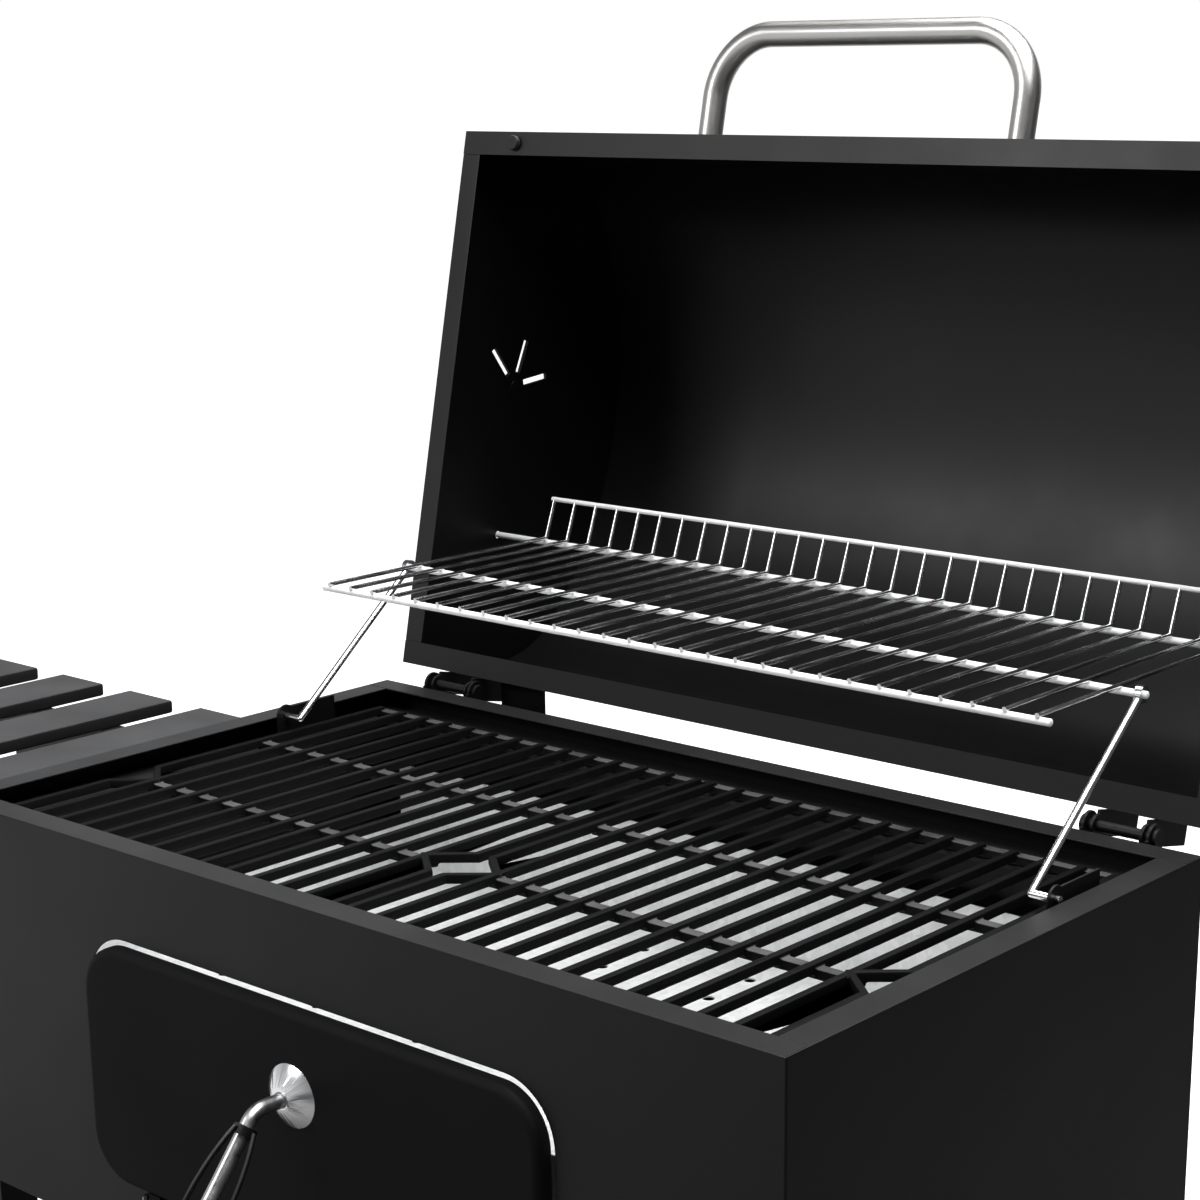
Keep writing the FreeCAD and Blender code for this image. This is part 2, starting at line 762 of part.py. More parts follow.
def hoodOutline(sketch, inset):
    # Two upright walls, a quarter round over each, and a flat crown arc that meets both.
    deep = boxDepth - inset * 2
    corner = hoodCorner - inset
    rise = corner + hoodCrown
    run = deep / 2 - corner
    crown = (run * run + rise * rise - corner * corner) / (hoodCrown * 2)
    w = deep.value
    r = corner.value
    big = crown.value
    wall = hoodWall.value
    top = wall + rise.value
    points = [FreeCAD.Vector(x, y, 0) for x, y in ((0, 0), (w, 0), (w, wall), (0, wall))]
    sketch.addGeometry(Part.LineSegment(points[0], points[1]), False)
    sketch.addGeometry(Part.LineSegment(points[1], points[2]), False)
    meet = math.atan2(wall - (top - big), w / 2 - r)
    normal = FreeCAD.Vector(0, 0, 1)
    right = Part.Circle(FreeCAD.Vector(w - r, wall, 0), normal, r)
    sketch.addGeometry(Part.ArcOfCircle(right, 0, meet), False)
    middle = Part.Circle(FreeCAD.Vector(w / 2, top - big, 0), normal, big)
    sketch.addGeometry(Part.ArcOfCircle(middle, meet, math.pi - meet), False)
    left = Part.Circle(FreeCAD.Vector(r, wall, 0), normal, r)
    sketch.addGeometry(Part.ArcOfCircle(left, math.pi - meet, math.pi), False)
    sketch.addGeometry(Part.LineSegment(points[3], points[0]), False)
    sketch.addConstraint(Sketcher.Constraint("Coincident", 0, 2, 1, 1))
    for before, after in ((1, 2), (2, 3), (3, 4), (4, 5)):
        sketch.addConstraint(Sketcher.Constraint("Tangent", before, 2, after, 1))
    sketch.addConstraint(Sketcher.Constraint("Coincident", 5, 2, 0, 1))
    sketch.addConstraint(Sketcher.Constraint("Coincident", 0, 1, -1, 1))
    sketch.addConstraint(Sketcher.Constraint("Horizontal", 0))
    sketch.addConstraint(Sketcher.Constraint("Vertical", 1))
    sketch.addConstraint(Sketcher.Constraint("Vertical", 5))
    sketch.addConstraint(Sketcher.Constraint("Equal", 1, 5))
    hold(sketch, "deep", Sketcher.Constraint("DistanceX", 0, 1, 0, 2, w), deep)
    hold(sketch, "wall", Sketcher.Constraint("DistanceY", 1, 1, 1, 2, wall), hoodWall)
    hold(sketch, "corner", Sketcher.Constraint("Radius", 2, r), corner)
    hold(sketch, "crown", Sketcher.Constraint("Radius", 3, big), crown)


def hoodPrism(name, inset, length):
    body = newBody(name)
    sketch = newSketch(body, "YZ_Plane")
    hoodOutline(sketch, inset)
    pad(body, sketch, length)
    return body


def ventSlots(x, reach):
    # Three slots that fan out from the damper's rivet.
    centreY = boxDepth - ventBack
    centreZ = hoodPlane + ventUp
    slots = [rod(ventPivot, reach, x, centreY, centreZ, alongX)]
    for spoke in range(3):
        lean = ventLean - ventFan * spoke
        slot = doc.addObject("Part::Box", "Slot")
        bind(slot, "Length", reach)
        bind(slot, "Width", ventSlot)
        bind(slot, "Height", ventOuter - ventInner)
        away = FreeCAD.Rotation(FreeCAD.Vector(1, 0, 0), 90 - lean)
        slot.Placement.Rotation = away
        foot = away.multVec(FreeCAD.Vector(0, -1, 0))
        ahead = away.multVec(FreeCAD.Vector(0, 0, 1))
        slots.append(place(slot, x, centreY + ventSlot / 2 * foot.y + ventInner * ahead.y,
                           centreZ + ventSlot / 2 * foot.z + ventInner * ahead.z))
    return slots


def makeHood():
    outer = place(hoodPrism("HoodOuter", asSize(0), boxWidth), -half, 0, hoodPlane)
    inner = place(hoodPrism("HoodInner", steel, boxWidth + 10), -half - 5, steel, hoodPlane)
    lips = [box(-half, half, steel, hoodFlange, hoodPlane, hoodPlane + steel),
            box(-half, half, boxDepth - hoodFlange, boxDepth - steel, hoodPlane, hoodPlane + steel)]
    screwZ = hoodPlane + handleRise
    bores = [rod(screwShank + bushClearance, 10, handleSpread * side, -4, screwZ, alongY) for side in (-1, 1)]
    publishOnHood("hood_shell", cut(fuse([cut(outer, [inner])] + lips), bores))
    rivets = []
    for label, side in (("left", -1), ("right", 1)):
        if side < 0:
            x0 = -half
            lipStart = -half + steel
        else:
            x0 = half - steel
            lipStart = half - hoodFlange
        plate = place(hoodPrism("HoodEnd", steel, steel), x0, steel, hoodPlane)
        clear = [box(x0 - 1, x0 + steel + 1, asSize(0), hoodFlange, hoodPlane - 1, hoodPlane + steel),
                 box(x0 - 1, x0 + steel + 1, boxDepth - hoodFlange, boxDepth, hoodPlane - 1,
                     hoodPlane + steel)]
        lip = box(lipStart, lipStart + hoodFlange - steel, hoodFlange, boxDepth - hoodFlange,
                  hoodPlane, hoodPlane + steel)
        pinHole = rod(rackBar + 0.5, 10, x0 - 4, boxDepth - rackPinInset, rim + rackPinUp, alongX)
        tools = clear + ventSlots(x0 - 4, 10) + [pinHole]
        publishOnHood("hood_end_" + label, cut(fuse([plate, lip]), tools))
        outside = half + damperGap if side > 0 else -half - damperGap - steel
        disc = rod(damperRadius, steel, outside, boxDepth - ventBack, hoodPlane + ventUp, alongX)
        tab = box(outside, outside + steel, boxDepth - ventBack - damperTab, boxDepth - ventBack + damperTab,
                  hoodPlane + ventUp - damperRadius - damperTabReach,
                  hoodPlane + ventUp - damperRadius + damperTab)
        publishOnHood("vent_damper_" + label, cut(fuse([disc, tab]), ventSlots(outside - 4, 10)))
        middle = half * side
        shank = rod(rivetRadius, steel * 2 + 2, middle - steel - 1, boxDepth - ventBack, hoodPlane + ventUp, alongX)
        heads = [rod(rivetHead, rivetHeadHeight, middle + start, boxDepth - ventBack, hoodPlane + ventUp, alongX)
                 for start in (-steel - rivetSpace - rivetHeadHeight, steel + rivetSpace)]
        rivets.append(fuse([shank] + heads))
    publishOnHood("vent_rivets", group(rivets))
    bumpers = []
    for side in (-1, 1):
        bumpers.append(rod(bumperRadius, bumperHeight, (half - bumperInset) * side, hoodFlange / 2,
                           hoodPlane - bumperHeight))
    publishOnHood("hood_bumpers", group(bumpers))


makeHood()


def makeHoodHandle():
    # A tube bent twice, standing out from the hood's front wall.
    z = hoodPlane + handleRise

    def tube(radius):
        straight = handleReach - handleBend
        parts = []
        for side in (-1, 1):
            parts.append(rod(radius, straight, handleSpread * side, -straight, z, alongY))
            parts.append(bend(handleBend, radius, asSize(90), (handleSpread - handleBend) * side,
                              -straight, z, (side, 0, 0), (0, -1, 0)))
        parts.append(rod(radius, (handleSpread - handleBend) * 2, -handleSpread + handleBend,
                         -handleReach, z, alongX))
        return fuse(parts)

    publishOnHood("hood_handle", cut(tube(handleRadius), [tube(handleRadius - handleWall)]))
    plugs = []
    for side in (-1, 1):
        plug = rod(handleRadius - handleWall - plugClearance, plugLength, handleSpread * side, -plugLength, z, alongY)
        shank = rod(screwShank, plugLength + steel + 1, handleSpread * side, -plugLength, z, alongY)
        head = rod(screwHead, screwRise, handleSpread * side, steel, z, alongY)
        plugs.append(fuse([plug, shank, head]))
    publishOnHood("handle_screws", group(plugs))


def makeHinges():
    pins = []
    for label, side in (("left", -1), ("right", 1)):
        x0 = hingeSpread * side - hingeWidth / 2
        x1 = x0 + hingeWidth
        base = box(x0, x1, boxDepth, boxDepth + hingeSheet, rim - hingePlateLow, rim - hingePlateHigh)
        ears = []
        for inner in (x0, x1 - earSheet):
            knuckle = rod(hingeEar, earSheet, inner, hingeY, hingeZ, alongX)
            arm = box(inner, inner + earSheet, boxDepth + 1, hingeY + hingeEar, rim - hingeArm, hingeZ)
            ears.append(fuse([knuckle, arm]))
        bore = rod(hingePin + eyeClearance, hingeWidth + 4, x0 - 2, hingeY, hingeZ, alongX)
        publish("hinge_bracket_" + label, cut(fuse([base] + ears), [bore]))
        leaves = [box(x0 + leafInset, x1 - leafInset, boxDepth, boxDepth + hingeSheet, hoodPlane + leafLow,
                      hoodPlane + leafHigh)]
        for inner in (x0 + leafInset, x1 - leafInset - earSheet):
            leaves.append(rod(hingeEar - leafEarLess, earSheet, inner, hingeY, hingeZ, alongX))
            leaves.append(box(inner, inner + earSheet, boxDepth + 1, hingeY + hingeEar - leafEarLess, hingeZ,
                              hoodPlane + leafArm))
        bore = rod(hingePin + bushClearance, hingeWidth + 4, x0 - 2, hingeY, hingeZ, alongX)
        publishOnHood("hinge_leaf_" + label, cut(fuse(leaves), [bore]))
        left = x0 - pinSpace - pinHeadHeight
        shank = rod(hingePin, hingeWidth + (pinSpace + pinHeadHeight) * 2, left, hingeY, hingeZ, alongX)
        heads = [rod(hingePin + pinHead, pinHeadHeight, x, hingeY, hingeZ, alongX) for x in (left, x1 + pinSpace)]
        pins.append(fuse([shank] + heads))
    publish("hinge_pins", group(pins))


def makeHoodStop():
    # A bent plate on the rear panel whose nose carries the open hood.
    opened = hoodOpenAngle - 90
    wallY = hingeY + (boxDepth - hingeY) * cosine(hoodOpenAngle) + (hoodPlane - hingeZ) * sine(hoodOpenAngle)
    wallZ = hingeZ + (hoodPlane - hingeZ) * cosine(hoodOpenAngle) - (boxDepth - hingeY) * sine(hoodOpenAngle)
    noseY = wallY + stopNose
    noseZ = wallZ - (stopNose + stopPost) * sine(opened) / cosine(opened) - stopClearance
    right = stopLeft + stopWidth
    floorZ = rim - stopHigh - stopSheet
    base = box(stopLeft, right, boxDepth, boxDepth + stopSheet, rim - stopLow, rim - stopHigh)
    floor = box(stopLeft, right, boxDepth, noseY + stopPost, floorZ, rim - stopHigh)
    post = box(stopLeft, right, noseY, noseY + stopPost, floorZ, noseZ)
    publish("hood_stop", fuse([base, floor, post]))


makeHoodHandle()
makeHinges()
makeHoodStop()


# Warming rack

pinReach = hingeBack + rackPinInset
pinRise = rackPinUp - hingeUp
legRun = pinRise * sine(hoodOpenAngle) - pinReach * cosine(hoodOpenAngle)
legLift = pinReach * sine(hoodOpenAngle) + pinRise * cosine(hoodOpenAngle)
footY = hingeY - rackSpan
kneeY = footY + legRun
kneeZ = hingeZ + legLift


def makeRack():
    backY = kneeY + rackSpan
    frontY = kneeY - rackNose
    wide = rackWirePitch * (rackWires - 1)
    parts = [rod(rackBar, wide + 18, -wide / 2 - 9, frontY, kneeZ, alongX),
             rod(rackBar, legPlane * 2 + 10, -legPlane - 5, kneeY, kneeZ, alongX),
             rod(rackBar, boxWidth + 6, -half - 3, backY, kneeZ, alongX)]
    wireZ = kneeZ + rackBar + rackWire - 0.5
    top = rackFence
    for number in range(rackWires):
        x = -wide / 2 + rackWirePitch * number
        parts.append(rod(rackWire, backY - frontY + rackBar, x, frontY - rackBar, wireZ, alongY))
        parts.append(turn(rod(rackWire, top, x, backY, wireZ), FreeCAD.Vector(1, 0, 0), -fenceLean))
    parts.append(rod(rackWire + 0.3, wide + 6, -wide / 2 - 3, backY + top * sine(fenceLean),
                     wireZ + top * cosine(fenceLean), alongX))
    publish("warming_rack", fuse(parts))


def makeRackLegs():
    reach = root(legRun * legRun + legLift * legLift)
    slope = arcTangent(legLift, legRun)
    pinEnd = half - rimFlange - 1
    for label, side in (("left", -1), ("right", 1)):
        x = legPlane * side
        eye = rod(rackBar + eyeWall, eyeWidth, x - eyeWidth / 2, kneeY, kneeZ, alongX)
        stem = turn(rod(rackBar, reach - rackBar - 1, x, footY, hingeZ), FreeCAD.Vector(1, 0, 0), slope - 90)
        knee = doc.addObject("Part::Sphere", "Knee")
        bind(knee, "Radius", rackBar)
        place(knee, x, footY, hingeZ)
        start = x if side > 0 else -pinEnd
        foot = rod(rackBar, pinEnd - legPlane, start, footY, hingeZ, alongX)
        bore = rod(rackBar + eyeClearance, eyeWidth + 4, x - eyeWidth / 2 - 2, kneeY, kneeZ, alongX)
        publish("rack_leg_" + label, cut(fuse([eye, stem, knee, foot]), [bore]))
        plate = legPlane + rackPlateStep
        low = plate if side > 0 else -plate - rackPlateSheet
        tabStart = plate if side > 0 else -half + steel
        tabEnd = half - steel if side > 0 else -plate
        front = footY - rackPlateRadius
        back = footY + rackPlateBack
        parts = [rod(rackPlateRadius, rackPlateSheet, low, footY, hingeZ, alongX),
                 box(low, low + rackPlateSheet, front, footY + rackPlateRadius, ledgeTop, hingeZ),
                 box(low, low + rackPlateSheet, footY, back, ledgeTop, rim + rackPlateRise),
                 box(tabStart, tabEnd, front, back, ledgeTop, ledgeTop + rackPlateSheet)]
        hole = rod(rackBar + bushClearance, 6, low - 2, footY, hingeZ, alongX)
        publish("rack_bracket_" + label, cut(fuse(parts), [hole]))


makeRack()
makeRackLegs()


# Side shelf

def makeSideShelf():
    first = -half - slatSpace
    total = slatWidth * slats + slatGap * (slats - 1)
    top = rim - slatDrop
    for number in range(slats):
        right = first - (slatWidth + slatGap) * number
        publish("shelf_slat_" + str(number + 1),
                group([box(right - slatWidth, right, -slatForward, slatLength - slatForward, top - slatThick, top)]))
    under = top - slatThick
    braces = []
    for label, y in (("front", railFront), ("rear", slatLength - railRear - railTube)):
        tube = box(first - total, -half, y, y + railTube, under - railTube, under)
        hollow = box(first - total - 1, -half + 1, y + railWall, y + railTube - railWall,
                     under - railTube + railWall, under - railWall)
        publish("shelf_rail_" + label, cut(tube, [hollow]))
        braceY = y + (railTube - braceSheet) / 2
        body = newBody("Brace")
        sketch = newSketch(body, "XZ_Plane")
        outline(sketch, ((0, braceTall), (braceReach, braceTall), (braceReach, braceTall - braceEnd),
                         (braceEnd, 0), (0, 0)))
        pad(body, sketch, braceSheet)
        braces.append(place(body, -half - braceReach, braceY + braceSheet, under - railTube - braceTall))
    publish("shelf_braces", group(braces))


makeSideShelf()


# Cart

def squareTube(x, y, z0, z1):
    outer = box(x, x + legTube, y, y + legTube, z0, z1)
    inner = box(x + legWall, x + legTube - legWall, y + legWall, y + legTube - legWall, z0 - 1, z1 + 1)
    return outer, inner


def makeCart():
    leftX = -half + legInset
    rightX = half - legInset - legTube
    frontY = legSetBack
    rearY = boxDepth - legSetBack - legTube
    axleX = rightX + legTube / 2
    for end, y in (("front", frontY), ("rear", rearY)):
        outer, inner = squareTube(leftX, y, footHeight, floorTop)
        publish("leg_" + end + "_left", cut(outer, [inner]))
        outer, inner = squareTube(rightX, y, wheelRadius - legSkirt, floorTop)
        bore = rod(axleRadius + pressClearance, legTube + 4, axleX, y - 2, wheelRadius, alongY)
        publish("leg_" + end + "_right", cut(outer, [inner, bore]))
    caps = []
    for y in (frontY, rearY):
        caps.append(box(leftX - 1, leftX + legTube + 1, y - 1, y + legTube + 1, 0, footHeight))
        gap = legWall + capClearance
        caps.append(box(leftX + gap, leftX + legTube - gap, y + gap, y + legTube - gap, footHeight,
                        footHeight + capRise))
    publish("foot_caps", group([fuse(caps[:2]), fuse(caps[2:])]))
    rails = []
    for x in (leftX, rightX):
        start = x + frameInset
        end = x + legTube - frameInset
        rail = box(start, end, frontY + legTube, rearY, floorTop - frameTube, floorTop)
        bore = box(start + frameWall, end - frameWall, frontY + legTube - 1, rearY + 1,
                   floorTop - frameTube + frameWall, floorTop - frameWall)
        rails.append(cut(rail, [bore]))
    publish("frame_rails", group(rails))
    inner0 = leftX + legTube
    inner1 = rightX
    deck = box(inner0, inner1, frontY, rearY + legTube, shelfHeight, shelfHeight + steel)
    fronts = [box(inner0, inner1, y, y + steel, shelfHeight - shelfEdge, shelfHeight)
              for y in (frontY, rearY + legTube - steel)]
    ends = [box(x, x + steel, frontY + steel, rearY + legTube - steel, shelfHeight - shelfEdge, shelfHeight)
            for x in (inner0, inner1 - steel)]
    publish("bottom_shelf", fuse([deck] + fronts + ends))
    frontWheel = frontY - wheelSpace - wheelWidth
    rearWheel = rearY + legTube + wheelSpace
    axleStart = frontWheel - axleSpare
    axleEnd = rearWheel + wheelWidth + axleSpare
    publish("axle", group([rod(axleRadius, axleEnd - axleStart, axleX, axleStart, wheelRadius, alongY)]))
    for label, y in (("front", frontWheel), ("rear", rearWheel)):
        tyre = rod(wheelRadius, wheelWidth, axleX, y, wheelRadius, alongY)
        recesses = []
        for start in (y - 1, y + wheelWidth - wheelDish - 1):
            ring = rod(wheelRadius - wheelTyre, wheelDish + 2, axleX, start, wheelRadius, alongY)
            recesses.append(cut(ring, [rod(wheelHub, wheelDish + 4, axleX, start - 1, wheelRadius, alongY)]))
        bore = rod(axleRadius + bushClearance, wheelWidth + 2, axleX, y - 1, wheelRadius, alongY)
        publish("wheel_" + label, cut(tyre, recesses + [bore]))
    nuts = []
    for y in (frontWheel - axleNutLength - 2, rearWheel + wheelWidth + 2):
        nuts.append(cut(rod(axleNut, axleNutLength, axleX, y, wheelRadius, alongY),
                        [rod(axleRadius + pressClearance, axleNutLength + 2, axleX, y - 1, wheelRadius, alongY)]))
    washer = wheelSpace - washerGap
    for y in (frontY - washer, rearY + legTube):
        nuts.append(cut(rod(axleWasher, washer, axleX, y, wheelRadius, alongY),
                        [rod(axleRadius + pressClearance, washer * 3, axleX, y - washer, wheelRadius, alongY)]))
    publish("axle_nuts", group(nuts))


makeCart()


def makeScrews():
    # Round-headed screws, their shanks buried in the pieces that they hold.
    heads = []
    for x, way in ((-half + 1, -1), (half - 1, 1)):
        for y in (asSize(20), boxDepth - 20):
            for z in (shelfHeight - 13, floorTop - 12):
                start = x if way > 0 else x - screwRise
                heads.append(rod(screwHead, screwRise, start, y, z, alongX))
    for x in (-hingeSpread, hingeSpread, asSize(-263)):
        for offset in (-12, 12):
            heads.append(rod(screwHead - 1, screwRise, x + offset, boxDepth + 2, rim - 39, alongY))
    publish("frame_screws", group(heads))


makeScrews()


# Footprint and export

def span():
    total = FreeCAD.BoundBox()
    for item in pieces.values():
        total.add(item.Shape.optimalBoundingBox(False, False))
    return total


doc.recompute()
whole = span()
sheet.set("B1", format(-(whole.XMin + whole.XMax) / 2, ".4f"))
sheet.set("B2", format(-(whole.YMin + whole.YMax) / 2, ".4f"))
doc.recompute()

for item in doc.Objects:
    if "Invalid" in item.State or "Error" in item.State:
        raise ValueError("not built: " + item.Name + " " + item.Label)
os.makedirs("parts", exist_ok=True)
for label, item in pieces.items():
    if item.Shape.isNull() or not item.Shape.isValid():
        raise ValueError("bad shape: " + label)
    item.Shape.exportStep("parts/" + label + ".step")
print(len(pieces), "pieces, footprint", whole)
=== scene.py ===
import bpy
import bmesh
import json
import math
from mathutils import Vector, Matrix, Euler


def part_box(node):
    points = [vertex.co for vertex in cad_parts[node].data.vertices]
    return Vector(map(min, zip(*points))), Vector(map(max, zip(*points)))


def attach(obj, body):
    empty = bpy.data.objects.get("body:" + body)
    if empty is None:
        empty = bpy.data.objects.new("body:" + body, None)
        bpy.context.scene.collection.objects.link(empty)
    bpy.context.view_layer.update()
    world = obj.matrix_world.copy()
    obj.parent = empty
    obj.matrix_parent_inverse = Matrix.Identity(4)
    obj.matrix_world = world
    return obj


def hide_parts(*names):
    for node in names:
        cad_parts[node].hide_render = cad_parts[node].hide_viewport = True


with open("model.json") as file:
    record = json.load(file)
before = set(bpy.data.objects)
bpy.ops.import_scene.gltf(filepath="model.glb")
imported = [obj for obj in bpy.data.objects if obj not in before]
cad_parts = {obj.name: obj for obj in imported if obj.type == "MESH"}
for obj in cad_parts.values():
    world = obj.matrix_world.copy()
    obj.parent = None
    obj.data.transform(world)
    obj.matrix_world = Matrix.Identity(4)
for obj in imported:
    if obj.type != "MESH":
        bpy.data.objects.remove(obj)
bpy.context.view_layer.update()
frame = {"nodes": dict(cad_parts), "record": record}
nodes = frame["nodes"]
bodyRows = frame["record"]["behaviour"]["bodies"]
bodyOf = {node: body for body, members in bodyRows.items() for node in members}
slotOf = {part["node"]: part["material_slot"] for part in frame["record"]["subparts"]}
scene = bpy.context.scene
scene.view_settings.view_transform = "Standard"
print("frame loaded:", len(nodes), "nodes")


# Shared shader groups: each puts out colours, masks, values and normals only

def startGroup(name, inputs, outputs):
    group = bpy.data.node_groups.new(name, "ShaderNodeTree")
    for label, kind, value in inputs:
        socket = group.interface.new_socket(name=label, in_out="INPUT", socket_type="NodeSocket" + kind)
        socket.default_value = value
    for label, kind in outputs:
        group.interface.new_socket(name=label, in_out="OUTPUT", socket_type="NodeSocket" + kind)
    return group, group.nodes.new("NodeGroupInput"), group.nodes.new("NodeGroupOutput")


def addNode(tree, kind, **settings):
    node = tree.nodes.new(kind)
    for key, value in settings.items():
        setattr(node, key, value)
    return node


def join(tree, source, target):
    tree.links.new(source, target)


def setIn(node, **values):
    for key, value in values.items():
        node.inputs[key].default_value = value
    return node


def noiseOn(tree, vector, scale, detail=3.0, roughness=0.55):
    noise = addNode(tree, "ShaderNodeTexNoise")
    noise.inputs["Detail"].default_value = detail
    noise.inputs["Roughness"].default_value = roughness
    join(tree, vector, noise.inputs["Vector"])
    if isinstance(scale, (int, float)):
        noise.inputs["Scale"].default_value = scale
    else:
        join(tree, scale, noise.inputs["Scale"])
    return noise


def rangeOn(tree, value, low, high, fromLow=0.3, fromHigh=0.7):
    mapped = addNode(tree, "ShaderNodeMapRange")
    mapped.inputs["From Min"].default_value = fromLow
    mapped.inputs["From Max"].default_value = fromHigh
    for key, end in (("To Min", low), ("To Max", high)):
        if isinstance(end, (int, float)):
            mapped.inputs[key].default_value = end
        else:
            join(tree, end, mapped.inputs[key])
    join(tree, value, mapped.inputs["Value"])
    return mapped.outputs["Result"]


def mathOn(tree, operation, first, second):
    step = addNode(tree, "ShaderNodeMath", operation=operation)
    for index, value in enumerate((first, second)):
        if isinstance(value, (int, float)):
            step.inputs[index].default_value = value
        else:
            join(tree, value, step.inputs[index])
    return step.outputs[0]


def mixOn(tree, factor, first, second):
    mixed = addNode(tree, "ShaderNodeMix", data_type="RGBA")
    join(tree, factor, mixed.inputs["Factor"])
    for key, value in (("A", first), ("B", second)):
        socket = [item for item in mixed.inputs if item.name == key and item.type == "RGBA"][0]
        if isinstance(value, tuple):
            socket.default_value = value
        else:
            join(tree, value, socket)
    return [item for item in mixed.outputs if item.type == "RGBA"][0]


def makeSurfaceGrain():
    group, given, result = startGroup("surfaceGrain",
        [("Scale", "Float", 900.0), ("Depth", "Float", 0.15), ("Rough Low", "Float", 0.35),
         ("Rough High", "Float", 0.5), ("Patch Scale", "Float", 7.0)],
        [("Roughness", "Float"), ("Normal", "Vector"), ("Patches", "Float")])
    place = addNode(group, "ShaderNodeTexCoord")
    fine = noiseOn(group, place.outputs["Object"], given.outputs["Scale"], 2.0)
    patches = noiseOn(group, place.outputs["Object"], given.outputs["Patch Scale"], 4.0)
    bump = setIn(addNode(group, "ShaderNodeBump"), Distance=0.0004)
    join(group, given.outputs["Depth"], bump.inputs["Strength"])
    join(group, fine.outputs["Fac"], bump.inputs["Height"])
    rough = rangeOn(group, patches.outputs["Fac"], given.outputs["Rough Low"], given.outputs["Rough High"])
    join(group, rough, result.inputs["Roughness"])
    join(group, bump.outputs["Normal"], result.inputs["Normal"])
    join(group, patches.outputs["Fac"], result.inputs["Patches"])
    return group


def makeSettledDust():
    # Pale film on faces that look up, broken into patches
    group, given, result = startGroup("settledDust",
        [("Base", "Color", (0.02, 0.02, 0.02, 1)), ("Dust", "Color", (0.2, 0.2, 0.2, 1)),
         ("Amount", "Float", 0.2), ("Scale", "Float", 18.0)],
        [("Color", "Color")])
    place = addNode(group, "ShaderNodeTexCoord")
    shape = addNode(group, "ShaderNodeNewGeometry")
    split = addNode(group, "ShaderNodeSeparateXYZ")
    join(group, shape.outputs["Normal"], split.inputs[0])
    upward = rangeOn(group, split.outputs["Z"], 0.0, 1.0, 0.25, 0.95)
    cloud = noiseOn(group, place.outputs["Object"], given.outputs["Scale"], 5.0)
    patch = rangeOn(group, cloud.outputs["Fac"], 0.55, 1.0, 0.3, 0.7)
    mask = mathOn(group, "MULTIPLY", mathOn(group, "MULTIPLY", upward, patch), given.outputs["Amount"])
    join(group, mixOn(group, mask, given.outputs["Base"], given.outputs["Dust"]), result.inputs["Color"])
    return group


def makeDrawnMetal():
    # Fine lines along one direction, as a drawn tube or a rolled sheet has
    group, given, result = startGroup("drawnMetal",
        [("Stretch", "Vector", (6.0, 900.0, 900.0)), ("Depth", "Float", 0.1),
         ("Rough Low", "Float", 0.2), ("Rough High", "Float", 0.38)],
        [("Roughness", "Float"), ("Normal", "Vector"), ("Lines", "Float")])
    place = addNode(group, "ShaderNodeTexCoord")
    pull = addNode(group, "ShaderNodeVectorMath", operation="MULTIPLY")
    join(group, place.outputs["Object"], pull.inputs[0])
    join(group, given.outputs["Stretch"], pull.inputs[1])
    lines = noiseOn(group, pull.outputs[0], 1.0, 3.0)
    bump = setIn(addNode(group, "ShaderNodeBump"), Distance=0.0002)
    join(group, given.outputs["Depth"], bump.inputs["Strength"])
    join(group, lines.outputs["Fac"], bump.inputs["Height"])
    rough = rangeOn(group, lines.outputs["Fac"], given.outputs["Rough Low"], given.outputs["Rough High"])
    join(group, rough, result.inputs["Roughness"])
    join(group, bump.outputs["Normal"], result.inputs["Normal"])
    join(group, lines.outputs["Fac"], result.inputs["Lines"])
    return group


surfaceGrain = makeSurfaceGrain()
settledDust = makeSettledDust()
drawnMetal = makeDrawnMetal()


def placeGroup(tree, group, **values):
    node = addNode(tree, "ShaderNodeGroup", node_tree=group)
    for key, value in values.items():
        node.inputs[key.replace("_", " ")].default_value = value
    return node


def startMaterial(name):
    material = bpy.data.materials.new(name)
    material.use_nodes = True
    return material, material.node_tree, material.node_tree.nodes["Principled BSDF"]


powderLooks = {
    "boxPowder": dict(color=(0.0045, 0.0045, 0.0048, 1), dust=0.10, grain=1100.0, depth=0.16,
                      low=0.34, high=0.44, shine=0.14),
    "hoodPowder": dict(color=(0.0030, 0.0030, 0.0032, 1), dust=0.02, grain=1100.0, depth=0.14,
                       low=0.33, high=0.45, shine=0.30),
    "cartPowder": dict(color=(0.005, 0.005, 0.005, 1), dust=0.03, grain=1000.0, depth=0.2,
                       low=0.36, high=0.48, shine=0.22),
    "doorPowder": dict(color=(0.0045, 0.0045, 0.0048, 1), dust=0.02, grain=1100.0, depth=0.16,
                       low=0.52, high=0.62, shine=0.05),
    "slatPowder": dict(color=(0.010, 0.010, 0.0105, 1), dust=0.22, grain=700.0, depth=0.45,
                       low=0.42, high=0.55, shine=0.22),
    "softRubber": dict(color=(0.012, 0.012, 0.012, 1), dust=0.25, grain=900.0, depth=0.3,
                       low=0.55, high=0.72, shine=0.22),
    "wheelPlastic": dict(color=(0.016, 0.016, 0.016, 1), dust=0.12, grain=800.0, depth=0.3,
                         low=0.42, high=0.55, shine=0.22),
    "capPlastic": dict(color=(0.014, 0.014, 0.014, 1), dust=0.1, grain=900.0, depth=0.25,
                       low=0.38, high=0.5, shine=0.22),
}
dustLooks = {"tone": (0.16, 0.16, 0.165, 1), "cloud": 14.0, "patch": 6.0}


def wireGrain(tree, shader, grain):
    join(tree, grain.outputs["Roughness"], shader.inputs["Roughness"])
    join(tree, grain.outputs["Normal"], shader.inputs["Normal"])


